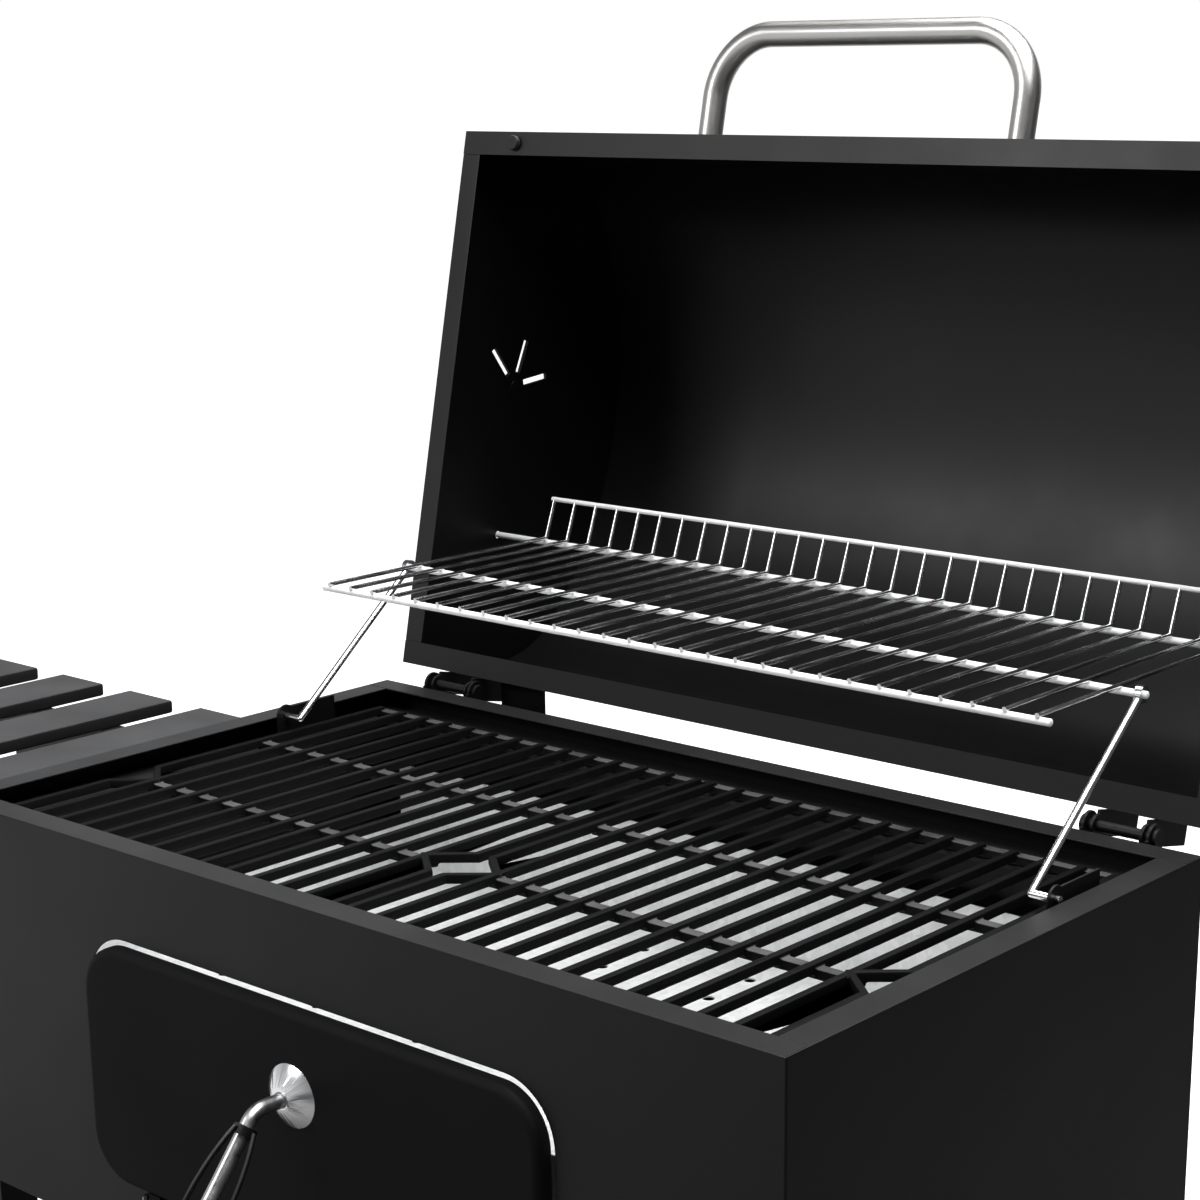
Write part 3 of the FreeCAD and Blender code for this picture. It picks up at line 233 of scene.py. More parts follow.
def makePowder(name):
    look = powderLooks[name]
    material, tree, shader = startMaterial(name)
    grain = placeGroup(tree, surfaceGrain, Scale=look["grain"], Depth=look["depth"], Rough_Low=look["low"],
                       Rough_High=look["high"], Patch_Scale=dustLooks["patch"])
    dust = placeGroup(tree, settledDust, Base=look["color"], Dust=dustLooks["tone"],
                      Amount=look["dust"], Scale=dustLooks["cloud"])
    join(tree, dust.outputs["Color"], shader.inputs["Base Color"])
    wireGrain(tree, shader, grain)
    shader.inputs["Specular IOR Level"].default_value = look["shine"]
    return material


# The paler of the two colours is a painted highlight for the tops of the cross bars
castLooks = {
    "color": (0.004, 0.004, 0.004, 1), "sheenTone": (0.11, 0.11, 0.11, 1), "grain": 480.0, "depth": 0.55,
    "low": 0.45, "high": 0.62, "patch": 24.0, "crossTop": 0.8690, "barTop": 0.8700, "shine": 0.06,
}


def makeCastIron():
    # Dull enamel, with a painted highlight: a paler colour on the upward tops of the lower cross bars, in
    # patches
    look = castLooks
    material, tree, shader = startMaterial("castIronEnamel")
    grain = placeGroup(tree, surfaceGrain, Scale=look["grain"], Depth=look["depth"], Rough_Low=look["low"],
                       Rough_High=look["high"], Patch_Scale=look["patch"])
    place = addNode(tree, "ShaderNodeTexCoord")
    split = addNode(tree, "ShaderNodeSeparateXYZ")
    join(tree, place.outputs["Object"], split.inputs[0])
    low = rangeOn(tree, split.outputs["Z"], 1.0, 0.0, look["crossTop"], look["barTop"])
    shape = addNode(tree, "ShaderNodeNewGeometry")
    facing = addNode(tree, "ShaderNodeSeparateXYZ")
    join(tree, shape.outputs["Normal"], facing.inputs[0])
    upward = rangeOn(tree, facing.outputs["Z"], 0.0, 1.0, 0.5, 0.9)
    # Painted highlight: upward faces below the bar tops take the paler colour, in patches
    sheenMask = mathOn(tree, "MULTIPLY", mathOn(tree, "MULTIPLY", low, upward), grain.outputs["Patches"])
    join(tree, mixOn(tree, sheenMask, look["color"], look["sheenTone"]), shader.inputs["Base Color"])
    wireGrain(tree, shader, grain)
    shader.inputs["Specular IOR Level"].default_value = look["shine"]
    return material


chromeLooks = {
    "grain": 260.0, "depth": 0.01, "low": 0.16, "high": 0.28, "patch": 45.0,
    "bright": (0.78, 0.78, 0.79, 1), "dull": (0.68, 0.685, 0.70, 1),
}


def makeChrome():
    look = chromeLooks
    material, tree, shader = startMaterial("platedChrome")
    shader.inputs["Metallic"].default_value = 1.0
    grain = placeGroup(tree, surfaceGrain, Scale=look["grain"], Depth=look["depth"], Rough_Low=look["low"],
                       Rough_High=look["high"], Patch_Scale=look["patch"])
    join(tree, mixOn(tree, grain.outputs["Patches"], look["bright"], look["dull"]),
         shader.inputs["Base Color"])
    wireGrain(tree, shader, grain)
    return material


metalLooks = {
    "brushedStainless": dict(stretch=(25.0, 420.0, 420.0), depth=0.015, low=0.30, high=0.40,
                             first=(0.46, 0.452, 0.44, 1), second=(0.38, 0.374, 0.364, 1)),
    "zincPlate": dict(stretch=(160.0, 160.0, 160.0), depth=0.08, low=0.26, high=0.44,
                      first=(0.56, 0.56, 0.55, 1), second=(0.42, 0.42, 0.42, 1)),
}


def makeDrawn(name):
    look = metalLooks[name]
    material, tree, shader = startMaterial(name)
    shader.inputs["Metallic"].default_value = 1.0
    drawn = placeGroup(tree, drawnMetal, Stretch=look["stretch"], Depth=look["depth"],
                       Rough_Low=look["low"], Rough_High=look["high"])
    join(tree, mixOn(tree, drawn.outputs["Lines"], look["first"], look["second"]),
         shader.inputs["Base Color"])
    wireGrain(tree, shader, drawn)
    return material


zincLooks = {
    "metallic": 0.25, "crystals": 170.0, "dark": (0.74, 0.75, 0.755, 1), "light": (0.86, 0.865, 0.87, 1),
    "low": 0.38, "high": 0.52, "grain": 600.0, "depth": 0.08,
}


def makeGalvanised():
    # Zinc spangle: crystals of a few millimetres, each with its own tone
    look = zincLooks
    material, tree, shader = startMaterial("galvanisedSheet")
    shader.inputs["Metallic"].default_value = look["metallic"]
    place = addNode(tree, "ShaderNodeTexCoord")
    cells = addNode(tree, "ShaderNodeTexVoronoi")
    cells.inputs["Scale"].default_value = look["crystals"]
    join(tree, place.outputs["Object"], cells.inputs["Vector"])
    tone = addNode(tree, "ShaderNodeSeparateColor")
    join(tree, cells.outputs["Color"], tone.inputs[0])
    join(tree, mixOn(tree, tone.outputs[0], look["dark"], look["light"]), shader.inputs["Base Color"])
    join(tree, rangeOn(tree, tone.outputs[1], look["low"], look["high"], 0.0, 1.0),
         shader.inputs["Roughness"])
    grain = placeGroup(tree, surfaceGrain, Scale=look["grain"], Depth=look["depth"])
    join(tree, grain.outputs["Normal"], shader.inputs["Normal"])
    return material


powderSlots = {
    "body_black": "boxPowder", "hood_black": "hoodPowder", "cart_black": "cartPowder",
    "shelf_black": "slatPowder", "rubber_black": "softRubber", "wheel_black": "wheelPlastic",
    "cap_black": "capPlastic",
}
materialOf = {slotName: makePowder(name) for slotName, name in powderSlots.items()}
materialOf["cast_black"] = makeCastIron()
materialOf["chrome_wire"] = makeChrome()
materialOf["handle_steel"] = makeDrawn("brushedStainless")
materialOf["galvanised"] = makeGalvanised()
materialOf["zinc_screw"] = makeDrawn("zincPlate")
ownFinish = {"charcoal_door": makePowder("doorPowder")}  # the door is duller than the panels round it
for label, item in nodes.items():
    item.data.materials.clear()
    item.data.materials.append(materialOf[slotOf[label]])
print("materials made:", len(materialOf))


# Pieces taken over from the frame with folded, rounded edges

foldSizes = {
    "mergeWithin": 0.00001, "flatWithin": 0.6, "foldAngle": 50, "smoothBelow": 38, "steps": 2, "weight": 100,
}


def cleanCopy(label):
    mesh = bmesh.new()
    mesh.from_mesh(nodes[label].data)
    bmesh.ops.remove_doubles(mesh, verts=mesh.verts, dist=foldSizes["mergeWithin"])
    bmesh.ops.dissolve_limit(mesh, angle_limit=math.radians(foldSizes["flatWithin"]), verts=mesh.verts,
                             edges=mesh.edges)
    return mesh


def softenEdges(mesh, angle):
    for face in mesh.faces:
        face.smooth = True
    for edge in mesh.edges:
        edge.smooth = len(edge.link_faces) == 2 and edge.calc_face_angle(0) < math.radians(angle)


def finishPiece(name, mesh, material, body, replaced):
    data = bpy.data.meshes.new(name)
    mesh.to_mesh(data)
    mesh.free()
    data.materials.append(material)
    item = bpy.data.objects.new(name, data)
    scene.collection.objects.link(item)
    return claimPiece(item, body, replaced)


def claimPiece(item, body, replaced):
    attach(item, body)
    if replaced:
        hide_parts(*replaced)
    return item


def weighFaces(item):
    # Large flat faces keep their own direction and the small edge rounds take up the turn
    weigh = item.modifiers.new("faceWeight", "WEIGHTED_NORMAL")
    weigh.mode = "FACE_AREA"
    weigh.weight = foldSizes["weight"]
    weigh.keep_sharp = True
    graph = bpy.context.evaluated_depsgraph_get()
    data = bpy.data.meshes.new_from_object(item.evaluated_get(graph), depsgraph=graph)
    item.modifiers.clear()
    item.data = data


edgeRounds = {  # edge radius of each piece, in metres
    "front_panel": 0.0007, "rear_panel": 0.0007, "left_panel": 0.0007, "right_panel": 0.0007,
    "floor_panel": 0.0004, "grate_ledge": 0.0006, "pan_brackets": 0.0004,
    "hood_shell": 0.0006, "hood_end_left": 0.0006, "hood_end_right": 0.0006,
    "hinge_bracket_left": 0.0006, "hinge_bracket_right": 0.0006,
    "hinge_leaf_left": 0.0006, "hinge_leaf_right": 0.0006, "hood_stop": 0.0006,
    "rack_bracket_left": 0.0005, "rack_bracket_right": 0.0005,
    "vent_damper_left": 0.0004, "vent_damper_right": 0.0004,
    "shelf_slat_1": 0.0022, "shelf_slat_2": 0.0022, "shelf_slat_3": 0.0022, "shelf_slat_4": 0.0022,
    "shelf_rail_front": 0.0015, "shelf_rail_rear": 0.0015, "shelf_braces": 0.0010,
    "leg_front_left": 0.0018, "leg_front_right": 0.0018, "leg_rear_left": 0.0018, "leg_rear_right": 0.0018,
    "foot_caps": 0.0020, "frame_rails": 0.0012, "bottom_shelf": 0.0007,
    "charcoal_door": 0.0004, "door_rose": 0.0008, "door_hinge_lugs": 0.0008,
    "door_handle_rod": 0.0006, "door_handle_cage": 0.0004, "latch_tongue": 0.0004, "latch_nut": 0.0005,
    "charcoal_pan": 0.0005, "grate_left": 0.0016, "grate_right": 0.0016,
    "hood_handle": 0.0004, "hood_bumpers": 0.0012, "axle_nuts": 0.0006, "vent_rivets": 0.0008,
}


def roundedPiece(label, radius):
    name = label + "_finished"
    mesh = cleanCopy(label)
    data = bpy.data.meshes.new(name)
    mesh.to_mesh(data)
    mesh.free()
    item = bpy.data.objects.new(name, data)
    scene.collection.objects.link(item)
    bevel = item.modifiers.new("edgeRound", "BEVEL")
    bevel.width = radius
    bevel.segments = foldSizes["steps"]
    bevel.limit_method = "ANGLE"
    bevel.angle_limit = math.radians(foldSizes["foldAngle"])
    bevel.use_clamp_overlap = True
    bevel.loop_slide = False
    shown = item.evaluated_get(bpy.context.evaluated_depsgraph_get())
    bevelled = bmesh.new()
    bevelled.from_mesh(shown.to_mesh())
    shown.to_mesh_clear()
    item.modifiers.clear()
    softenEdges(bevelled, foldSizes["smoothBelow"])
    bevelled.to_mesh(data)
    bevelled.free()
    weighFaces(item)
    item.data.materials.clear()
    item.data.materials.append(ownFinish.get(label, materialOf[slotOf[label]]))
    return claimPiece(item, bodyOf[label], [label])


for label, radius in edgeRounds.items():
    roundedPiece(label, radius)
print("rounded pieces:", len(edgeRounds))


# Geometry Nodes helpers

def startTree(name, inputs):
    tree = bpy.data.node_groups.new(name, "GeometryNodeTree")
    tree.interface.new_socket(name="Geometry", in_out="INPUT", socket_type="NodeSocketGeometry")
    for label, kind, value in inputs:
        socket = tree.interface.new_socket(name=label, in_out="INPUT", socket_type="NodeSocket" + kind)
        if value is not None:
            socket.default_value = value
    tree.interface.new_socket(name="Geometry", in_out="OUTPUT", socket_type="NodeSocketGeometry")
    return tree, tree.nodes.new("NodeGroupInput"), tree.nodes.new("NodeGroupOutput")


def endTree(tree, geometry, given, result):
    realize = addNode(tree, "GeometryNodeRealizeInstances")
    smooth = addNode(tree, "GeometryNodeSetShadeSmooth")
    paint = addNode(tree, "GeometryNodeSetMaterial")
    join(tree, geometry, realize.inputs[0])
    join(tree, realize.outputs[0], smooth.inputs[0])
    join(tree, smooth.outputs[0], paint.inputs["Geometry"])
    join(tree, given.outputs["Material"], paint.inputs["Material"])
    join(tree, paint.outputs[0], result.inputs[0])


def growPiece(name, tree, values, points=(), angle=40):
    # Runs the tree on a small mesh of points and keeps the result as a plain mesh
    seedMesh = bpy.data.meshes.new(name + "Seed")
    seedMesh.from_pydata([tuple(point) for point in points], [], [])
    holder = bpy.data.objects.new(name + "Seed", seedMesh)
    scene.collection.objects.link(holder)
    modifier = holder.modifiers.new("grow", "NODES")
    modifier.node_group = tree
    for socket in tree.interface.items_tree:
        if socket.item_type == "SOCKET" and socket.in_out == "INPUT" and socket.name in values:
            modifier[socket.identifier] = values[socket.name]
    graph = bpy.context.evaluated_depsgraph_get()
    data = bpy.data.meshes.new_from_object(holder.evaluated_get(graph), depsgraph=graph)
    holder.modifiers.clear()
    bpy.data.objects.remove(holder)
    mesh = bmesh.new()
    mesh.from_mesh(data)
    bmesh.ops.remove_doubles(mesh, verts=mesh.verts, dist=0.000002)
    softenEdges(mesh, angle)
    mesh.to_mesh(data)
    mesh.free()
    data.name = name
    item = bpy.data.objects.new(name, data)
    scene.collection.objects.link(item)
    return item


def vectorInput(tree, x=None, y=None, z=None):
    parts = addNode(tree, "ShaderNodeCombineXYZ")
    for index, value in enumerate((x, y, z)):
        if value is None:
            continue
        if isinstance(value, (int, float)):
            parts.inputs[index].default_value = value
        else:
            join(tree, value, parts.inputs[index])
    return parts.outputs[0]


def sweepNode(tree, start, end, radius, sides):
    line = addNode(tree, "GeometryNodeCurvePrimitiveLine")
    join(tree, start, line.inputs["Start"])
    join(tree, end, line.inputs["End"])
    ring = addNode(tree, "GeometryNodeCurvePrimitiveCircle")
    ring.inputs["Resolution"].default_value = sides
    join(tree, radius, ring.inputs["Radius"])
    swept = addNode(tree, "GeometryNodeCurveToMesh")
    swept.inputs["Fill Caps"].default_value = True
    join(tree, line.outputs[0], swept.inputs["Curve"])
    join(tree, ring.outputs[0], swept.inputs["Profile Curve"])
    return swept.outputs[0]


# Warming rack: straight wires and fence uprights at one pitch

rackSizes = {
    "wireRadius": 0.0017, "barRadius": 0.0026, "topRadius": 0.0020,
    "pitch": 0.024, "wires": 28, "fenceHeight": 0.034, "fenceLean": 20.0, "sides": 14,
    "barSides": 20, "topSides": 18, "endRound": 0.25, "wireSink": 0.0005, "nose": 0.099,
    "pivotHalf": 0.344, "frontSpare": 0.009, "topSpare": 0.003, "smoothBelow": 40,
}


def makeRackTree():
    tree, given, result = startTree("rackWireRow",
        [("Wires", "Int", 28), ("Pitch", "Float", 0.024), ("Depth", "Float", 0.25),
         ("Wire Radius", "Float", 0.0017), ("Fence Height", "Float", 0.034),
         ("Fence Run", "Float", 0.01), ("Origin", "Vector", (0, 0, 0)), ("Material", "Material", None)])
    row = addNode(tree, "GeometryNodeMeshLine", mode="OFFSET")
    join(tree, given.outputs["Wires"], row.inputs["Count"])
    join(tree, given.outputs["Origin"], row.inputs["Start Location"])
    join(tree, vectorInput(tree, given.outputs["Pitch"]), row.inputs["Offset"])
    flat = sweepNode(tree, vectorInput(tree), vectorInput(tree, None, given.outputs["Depth"]),
                     given.outputs["Wire Radius"], rackSizes["sides"])
    reach = mathOn(tree, "ADD", given.outputs["Depth"], given.outputs["Fence Run"])
    upright = sweepNode(tree, vectorInput(tree, None, given.outputs["Depth"]),
                        vectorInput(tree, None, reach, given.outputs["Fence Height"]),
                        given.outputs["Wire Radius"], rackSizes["sides"])
    both = addNode(tree, "GeometryNodeJoinGeometry")
    join(tree, flat, both.inputs[0])
    join(tree, upright, both.inputs[0])
    spread = addNode(tree, "GeometryNodeInstanceOnPoints")
    join(tree, row.outputs[0], spread.inputs["Points"])
    join(tree, both.outputs[0], spread.inputs["Instance"])
    endTree(tree, spread.outputs[0], given, result)
    return tree


def addRod(mesh, start, end, radius, sides):
    # A closed bar with a small rounding at both ends
    start, end = Vector(start), Vector(end)
    run = (end - start).normalized()
    side = run.orthogonal().normalized()
    other = run.cross(side)
    inset = radius * rackSizes["endRound"]
    rings = []
    for centre, size in ((start, radius - inset), (start + run * inset, radius),
                         (end - run * inset, radius), (end, radius - inset)):
        rings.append([mesh.verts.new(centre + (side * math.cos(turn) + other * math.sin(turn)) * size)
                      for turn in [2 * math.pi * step / sides for step in range(sides)]])
    for first, second in zip(rings, rings[1:]):
        for step in range(sides):
            after = (step + 1) % sides
            mesh.faces.new((first[step], first[after], second[after], second[step]))
    mesh.faces.new(list(reversed(rings[0])))
    mesh.faces.new(rings[-1])


def makeRack():
    low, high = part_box("warming_rack")
    sizes = rackSizes
    centre = (low.x + high.x) / 2
    wide = sizes["pitch"] * (sizes["wires"] - 1)
    kneeZ = low.z + sizes["barRadius"]
    frontY = low.y + sizes["barRadius"]
    lean = math.radians(sizes["fenceLean"])
    run, rise = sizes["fenceHeight"] * math.sin(lean), sizes["fenceHeight"] * math.cos(lean)
    backY = high.y - run - sizes["topRadius"]
    middleY = frontY + sizes["nose"]
    wireStart = frontY - sizes["barRadius"]
    wireZ = kneeZ + sizes["barRadius"] + sizes["wireRadius"] - sizes["wireSink"]
    item = growPiece("warming_rack_wires", makeRackTree(), {
        "Wires": sizes["wires"], "Pitch": sizes["pitch"], "Depth": backY - wireStart,
        "Wire Radius": sizes["wireRadius"], "Fence Height": rise, "Fence Run": run,
        "Origin": (centre - wide / 2, wireStart, wireZ), "Material": materialOf["chrome_wire"]})
    mesh = bmesh.new()
    mesh.from_mesh(item.data)
    topZ = wireZ + rise
    for half, y, z, radius, sides in (
            (wide / 2 + sizes["frontSpare"], frontY, kneeZ, sizes["barRadius"], sizes["barSides"]),
            (sizes["pivotHalf"], middleY, kneeZ, sizes["barRadius"], sizes["barSides"]),
            ((high.x - low.x) / 2, backY, kneeZ, sizes["barRadius"], sizes["barSides"]),
            (wide / 2 + sizes["topSpare"], backY + run, topZ, sizes["topRadius"], sizes["topSides"])):
        addRod(mesh, (centre - half, y, z), (centre + half, y, z), radius, sides)
    softenEdges(mesh, sizes["smoothBelow"])
    mesh.to_mesh(item.data)
    mesh.free()
    claimPiece(item, bodyOf["warming_rack"], ["warming_rack"])


def makeRackLeg(label):
    mesh = cleanCopy(label)
    softenEdges(mesh, rackSizes["smoothBelow"])
    finishPiece(label + "_finished", mesh, materialOf["chrome_wire"], bodyOf[label], [label])


makeRack()
for label in ("rack_leg_left", "rack_leg_right"):
    makeRackLeg(label)
print("rack made")


# Screws: domed heads with a round socket, one for each head of the frame

screwSizes = {
    "socketShare": 0.46, "domeShare": 0.42, "socketDepth": 0.0016, "sides": 24, "smoothBelow": 50,
    "centreX": 0.134,
}


def makeScrewTree():
    tree, given, result = startTree("screwHeads",
        [("Head Radius", "Float", 0.0055), ("Head Height", "Float", 0.003),
         ("Socket Radius", "Float", 0.0025), ("Socket Depth", "Float", 0.0016), ("Dome", "Float", 0.0012),
         ("Direction", "Vector", (0, 0, 1)), ("Material", "Material", None)])
    wall = addNode(tree, "GeometryNodeMeshCone", fill_type="NONE")
    rim = mathOn(tree, "SUBTRACT", given.outputs["Head Height"], given.outputs["Dome"])
    join(tree, given.outputs["Head Radius"], wall.inputs["Radius Top"])
    join(tree, given.outputs["Head Radius"], wall.inputs["Radius Bottom"])
    join(tree, rim, wall.inputs["Depth"])
    dome = addNode(tree, "GeometryNodeMeshCone", fill_type="NONE")
    join(tree, given.outputs["Socket Radius"], dome.inputs["Radius Top"])
    join(tree, given.outputs["Head Radius"], dome.inputs["Radius Bottom"])
    join(tree, given.outputs["Dome"], dome.inputs["Depth"])
    raised = addNode(tree, "GeometryNodeTransform")
    join(tree, dome.outputs[0], raised.inputs["Geometry"])
    join(tree, vectorInput(tree, None, None, rim), raised.inputs["Translation"])
    socket = addNode(tree, "GeometryNodeMeshCone", fill_type="NONE")
    join(tree, given.outputs["Socket Radius"], socket.inputs["Radius Top"])
    join(tree, given.outputs["Socket Radius"], socket.inputs["Radius Bottom"])
    join(tree, given.outputs["Socket Depth"], socket.inputs["Depth"])
    turned = addNode(tree, "GeometryNodeFlipFaces")
    join(tree, socket.outputs[0], turned.inputs[0])
    sunk = addNode(tree, "GeometryNodeTransform")
    join(tree, turned.outputs[0], sunk.inputs["Geometry"])
    depth = mathOn(tree, "SUBTRACT", given.outputs["Head Height"], given.outputs["Socket Depth"])
    join(tree, vectorInput(tree, None, None, depth), sunk.inputs["Translation"])
    seat = addNode(tree, "GeometryNodeMeshCircle", fill_type="NGON")
    join(tree, given.outputs["Socket Radius"], seat.inputs["Radius"])
    lowered = addNode(tree, "GeometryNodeTransform")
    join(tree, seat.outputs[0], lowered.inputs["Geometry"])
    join(tree, vectorInput(tree, None, None, depth), lowered.inputs["Translation"])
    base = addNode(tree, "GeometryNodeMeshCircle", fill_type="NGON")
    join(tree, given.outputs["Head Radius"], base.inputs["Radius"])
    under = addNode(tree, "GeometryNodeFlipFaces")
    join(tree, base.outputs[0], under.inputs[0])
    for node in (wall, dome, socket, seat, base):
        node.inputs["Vertices"].default_value = screwSizes["sides"]
    head = addNode(tree, "GeometryNodeJoinGeometry")
    for source in (wall, raised, sunk, lowered, under):
        join(tree, source.outputs[0], head.inputs[0])
    aim = addNode(tree, "FunctionNodeAlignEulerToVector", axis="Z")
    join(tree, given.outputs["Direction"], aim.inputs["Vector"])
    spread = addNode(tree, "GeometryNodeInstanceOnPoints")
    join(tree, given.outputs["Geometry"], spread.inputs["Points"])
    join(tree, head.outputs[0], spread.inputs["Instance"])
    join(tree, aim.outputs[0], spread.inputs["Rotation"])
    endTree(tree, spread.outputs[0], given, result)
    return tree


def islandBoxes(label):
    mesh = cleanCopy(label)
    left = set(mesh.verts)
    boxes = []
    while left:
        queue = [left.pop()]
        found = list(queue)
        while queue:
            for edge in queue.pop().link_edges:
                for vert in edge.verts:
                    if vert in left:
                        left.remove(vert)
                        queue.append(vert)
                        found.append(vert)
        low = Vector([min(vert.co[axis] for vert in found) for axis in range(3)])
        high = Vector([max(vert.co[axis] for vert in found) for axis in range(3)])
        boxes.append((low, high))
    mesh.free()
    return sorted(boxes, key=lambda pair: tuple(round(value, 4) for value in pair[0]))


def makeScrews():
    tree = makeScrewTree()
    rows = {}
    for low, high in islandBoxes("frame_screws"):
        extent = high - low
        axis = min(range(3), key=lambda index: extent[index])
        centre = (low + high) / 2
        way = 1 if axis == 1 or centre.x > screwSizes["centreX"] else -1
        start = centre.copy()
        start[axis] = low[axis] if way > 0 else high[axis]
        radius = round(extent[(axis + 1) % 3] / 2, 4)
        rows.setdefault((axis, way, radius, round(extent[axis], 4)), []).append(start)
    mesh = bmesh.new()
    for (axis, way, radius, height), points in sorted(rows.items()):
        heading = Vector((0, 0, 0))
        heading[axis] = way
        values = {"Head Radius": radius, "Head Height": height, "Direction": heading,
                  "Socket Radius": radius * screwSizes["socketShare"],
                  "Socket Depth": screwSizes["socketDepth"], "Dome": height * screwSizes["domeShare"],
                  "Material": materialOf["zinc_screw"]}
        part = growPiece("screwRow", tree, values, points, screwSizes["smoothBelow"])
        mesh.from_mesh(part.data)
        bpy.data.objects.remove(part)
    finishPiece("frame_screws_finished", mesh, materialOf["cart_black"], "cart",
                ["frame_screws"])


makeScrews()
print("screws made")


# Wheels: a hub and rim with ribs of tread round the edge

wheelSizes = {
    "treads": 60, "treadWidth": 0.0042, "treadRise": 0.0012, "treadSink": 0.2, "treadTall": 1.5,
    "treadShort": 0.011, "spokes": 8, "steps": 96, "smoothBelow": 35,
    "spokeOut": 0.0085, "spokeMiddle": 0.0445, "spokeSize": (0.006, 0.006, 0.047, 1),
    "hub": ((0.0056, 0.0), (0.021, 0.0), (0.022, 0.001)),  # radius, set back from the face
    "web": ((0.0225, 0.0065), (0.066, 0.0055)),  # radius, half thickness
    "rim": ((0.0685, 0.003), (0.070, 0.001), (0.079, 0.0)),
    "shoulder": ((0.001, 0.003), (0.0, 0.006)),  # below the tread, set back from the face
}


def makeTreadTree():
    tree, given, result = startTree("wheelTread",
        [("Treads", "Int", 60), ("Radius", "Float", 0.084), ("Length", "Float", 0.03),
         ("Width", "Float", 0.004), ("Rise", "Float", 0.0012), ("Centre", "Vector", (0, 0, 0)),
         ("Material", "Material", None)])
    ring = addNode(tree, "GeometryNodeMeshCircle")
    join(tree, given.outputs["Treads"], ring.inputs["Vertices"])
    join(tree, given.outputs["Radius"], ring.inputs["Radius"])
    upright = addNode(tree, "GeometryNodeTransform")
    join(tree, ring.outputs[0], upright.inputs["Geometry"])
    upright.inputs["Rotation"].default_value = Euler((math.pi / 2, 0, 0))
    block = addNode(tree, "GeometryNodeMeshCube")
    join(tree, vectorInput(tree, given.outputs["Width"], given.outputs["Length"], given.outputs["Rise"]),
         block.inputs["Size"])
    place = addNode(tree, "GeometryNodeInputPosition")
    aim = addNode(tree, "FunctionNodeAlignEulerToVector", axis="Z")
    aim.pivot_axis = "Y"
    join(tree, place.outputs[0], aim.inputs["Vector"])
    spread = addNode(tree, "GeometryNodeInstanceOnPoints")
    join(tree, upright.outputs[0], spread.inputs["Points"])
    join(tree, block.outputs[0], spread.inputs["Instance"])
    join(tree, aim.outputs[0], spread.inputs["Rotation"])
    moved = addNode(tree, "GeometryNodeTransform")
    join(tree, spread.outputs[0], moved.inputs["Geometry"])
    join(tree, given.outputs["Centre"], moved.inputs["Translation"])
    endTree(tree, moved.outputs[0], given, result)
    return tree


def spinProfile(mesh, profile, centre, steps):
    # Closed ring of (radius, offset along Y) turned about the Y axis
    rings = []
    for step in range(steps):
        turn = 2 * math.pi * step / steps
        across, upward = math.sin(turn), math.cos(turn)
        rings.append([
            mesh.verts.new((centre[0] + radius * across, centre[1] + offset, centre[2] + radius * upward))
            for radius, offset in profile])
    count = len(profile)
    for step in range(steps):
        first, second = rings[step], rings[(step + 1) % steps]
        for index in range(count):
            after = (index + 1) % count
            mesh.faces.new((first[index], second[index], second[after], first[after]))


def makeWheel(label, tree):
    low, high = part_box(label)
    centre = (low + high) / 2
    radius = (high.z - low.z) / 2
    half = (high.y - low.y) / 2
    sizes = wheelSizes
    tread = radius - sizes["treadRise"]
    near = [(size, inset - half) for size, inset in sizes["hub"]]
    near += [(size, -thick) for size, thick in sizes["web"]]
    near += [(size, inset - half) for size, inset in sizes["rim"]]
    near += [(tread - drop, inset - half) for drop, inset in sizes["shoulder"]]
    profile = near + [(size, -offset) for size, offset in reversed(near)]
    treads = growPiece("treads", tree, {
        "Treads": sizes["treads"], "Radius": tread + sizes["treadRise"] * sizes["treadSink"],
        "Length": half * 2 - sizes["treadShort"], "Width": sizes["treadWidth"],
        "Rise": sizes["treadRise"] * sizes["treadTall"], "Centre": centre,
        "Material": materialOf["wheel_black"]})
    mesh = bmesh.new()
    mesh.from_mesh(treads.data)
    bpy.data.objects.remove(treads)
    spinProfile(mesh, profile, centre, sizes["steps"])
    for spoke in range(sizes["spokes"]):
        turn = Matrix.Rotation(2 * math.pi * spoke / sizes["spokes"], 4, "Y")
        for side in (-1, 1):
            away = Matrix.Translation((0, side * sizes["spokeOut"], sizes["spokeMiddle"]))
            shape = Matrix.Translation(centre) @ turn @ away @ Matrix.Diagonal(sizes["spokeSize"])
            bmesh.ops.create_cube(mesh, size=1, matrix=shape)
    softenEdges(mesh, sizes["smoothBelow"])
    bmesh.ops.recalc_face_normals(mesh, faces=mesh.faces)
    finishPiece(label + "_finished", mesh, materialOf["wheel_black"], bodyOf[label],
                [label])


treadTree = makeTreadTree()
for label in ("wheel_front", "wheel_rear"):
    makeWheel(label, treadTree)
print("wheels made")


# Studio: pale floor, soft light

studioLooks = {
    "floorTone": (0.86, 0.86, 0.86, 1), "floorPatch": (0.89, 0.89, 0.89, 1), "floorSize": 60.0,
    "floorShade": (0.16, 0.16, 0.16, 1), "floorCloud": 1.3, "floorRoughness": 0.9,
    "glowNear": 0.7, "glowFar": 2.6, "glow": 1.0, "bounceLeft": 1.0, "bounceRight": 0.06,
    "horizonTone": (0.66, 0.67, 0.68, 1), "shadeTone": (0.03, 0.03, 0.031, 1), "shadeEnd": 0.55,
    "ceilingTone": (0.06, 0.06, 0.063, 1), "ceilingStart": 0.10, "ceilingEnd": 0.6,
    "backdropTone": (1.0, 1.0, 1.0, 1),
}


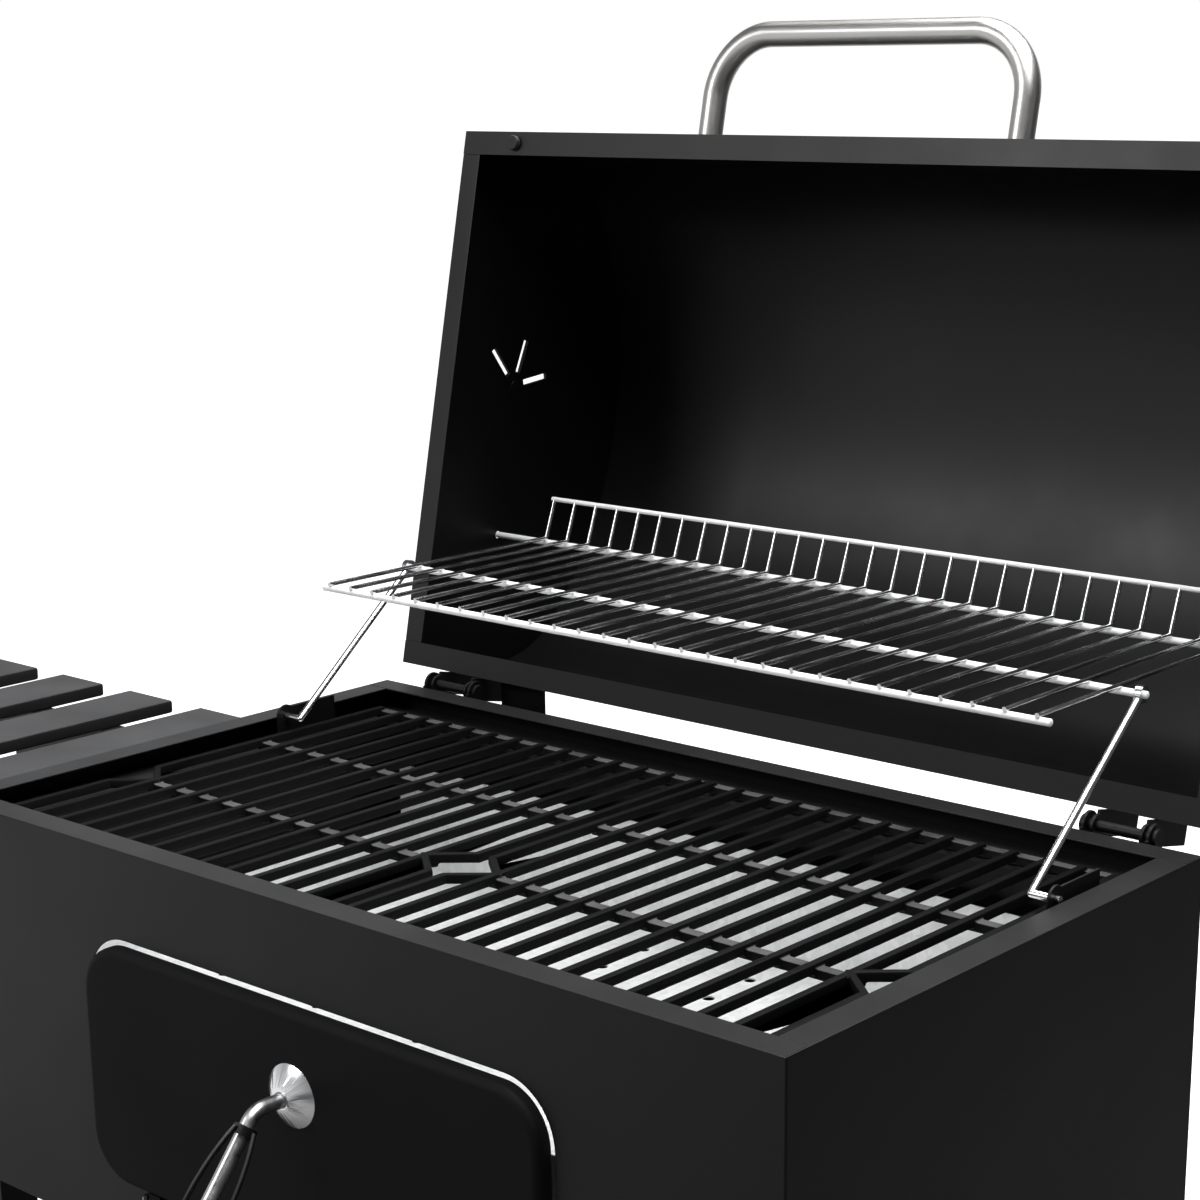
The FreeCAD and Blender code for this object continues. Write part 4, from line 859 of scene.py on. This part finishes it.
def makeFloor():
    # Pale where it is seen; the light it gives back is dimmer, most of all on the right
    look = studioLooks
    mesh = bmesh.new()
    bmesh.ops.create_grid(mesh, x_segments=1, y_segments=1, size=look["floorSize"])
    data = bpy.data.meshes.new("studioFloor")
    mesh.to_mesh(data)
    mesh.free()
    material, tree, shader = startMaterial("studioFloor")
    place = addNode(tree, "ShaderNodeTexCoord")
    cloud = noiseOn(tree, place.outputs["Object"], look["floorCloud"])
    path = addNode(tree, "ShaderNodeLightPath")
    tone = mixOn(tree, cloud.outputs["Fac"], look["floorTone"], look["floorPatch"])
    join(tree, mixOn(tree, path.outputs["Is Camera Ray"], look["floorShade"], tone),
         shader.inputs["Base Color"])
    shader.inputs["Roughness"].default_value = look["floorRoughness"]
    away = addNode(tree, "ShaderNodeVectorMath", operation="LENGTH")
    join(tree, place.outputs["Object"], away.inputs[0])
    glow = rangeOn(tree, away.outputs["Value"], 0.0, look["glow"], look["glowNear"], look["glowFar"])
    split = addNode(tree, "ShaderNodeSeparateXYZ")
    join(tree, place.outputs["Object"], split.inputs[0])
    bounce = rangeOn(tree, split.outputs["X"], look["bounceLeft"], look["bounceRight"], -1.0, 1.0)
    share = mathOn(tree, "MAXIMUM", path.outputs["Is Camera Ray"], bounce)
    join(tree, mathOn(tree, "MULTIPLY", glow, share), shader.inputs["Emission Strength"])
    shader.inputs["Emission Color"].default_value = (1, 1, 1, 1)
    data.materials.append(material)
    floor = bpy.data.objects.new("studioFloor", data)
    scene.collection.objects.link(floor)


def makeSky():
    # Bright round the horizon, dim overhead; the backdrop itself is plain
    look = studioLooks
    world = bpy.data.worlds.new("studioSky")
    world.use_nodes = True
    tree = world.node_tree
    sky = tree.nodes["Background"]
    place = addNode(tree, "ShaderNodeTexCoord")
    split = addNode(tree, "ShaderNodeSeparateXYZ")
    join(tree, place.outputs["Generated"], split.inputs[0])
    rise = rangeOn(tree, split.outputs["Z"], 0.0, 1.0, look["ceilingStart"], look["ceilingEnd"])
    across = rangeOn(tree, split.outputs["X"], 0.0, 1.0, 0.0, look["shadeEnd"])
    horizon = mixOn(tree, across, look["horizonTone"], look["shadeTone"])
    tone = mixOn(tree, rise, horizon, look["ceilingTone"])
    path = addNode(tree, "ShaderNodeLightPath")
    seen = mixOn(tree, path.outputs["Is Camera Ray"], tone, look["backdropTone"])
    join(tree, seen, sky.inputs["Color"])
    scene.world = world


lightLooks = {
    "overhead": dict(power=210.0, size=(3.4, 2.4), place=(0.5, 0.1, 3.2), aim=(0.13, -0.05, 0.9)),
    "frontSoft": dict(power=34.0, size=(1.3, 0.6), place=(-1.3, -2.6, 2.5), aim=(0.25, 0.35, 1.15)),
    "rightSoft": dict(power=1.0, size=(0.8, 1.6), place=(3.0, 0.6, 1.5), aim=(0.1, 0.0, 0.9)),
}


def makeLights():
    for name, look in lightLooks.items():
        lamp = bpy.data.lights.new(name, "AREA")
        lamp.shape = "RECTANGLE"
        lamp.size, lamp.size_y = look["size"]
        lamp.energy = look["power"]
        item = bpy.data.objects.new(name, lamp)
        item.location = look["place"]
        ahead = Vector(look["aim"]) - Vector(look["place"])
        item.rotation_euler = ahead.to_track_quat("-Z", "Y").to_euler()
        scene.collection.objects.link(item)


cameraLooks = {
    "azimuth": 41.75, "elevation": 15.29, "roll": -0.69, "focal": 2516.0, "frameWidth": 1200.0,
    "place": (1.2627, -1.2884, 1.3868), "shiftY": 0.12, "sensor": 36.0, "farEnd": 100.0,
}


def makeCamera():
    look = cameraLooks
    lens = bpy.data.cameras.new("studioCamera")
    lens.sensor_width = look["sensor"]
    lens.lens = look["focal"] / look["frameWidth"] * lens.sensor_width
    lens.shift_y = look["shiftY"]
    lens.clip_end = look["farEnd"]
    item = bpy.data.objects.new("studioCamera", lens)
    turn, rise = math.radians(look["azimuth"]), math.radians(look["elevation"])
    back = Vector((math.sin(turn) * math.cos(rise), -math.cos(turn) * math.cos(rise), math.sin(rise)))
    item.location = look["place"]
    item.rotation_mode = "QUATERNION"
    item.rotation_quaternion = (-back).to_track_quat("-Z", "Y")
    item.rotation_quaternion @= Euler((0, 0, math.radians(look["roll"]))).to_quaternion()
    scene.collection.objects.link(item)
    scene.camera = item


makeFloor()
makeSky()
makeLights()
makeCamera()
print("studio made")
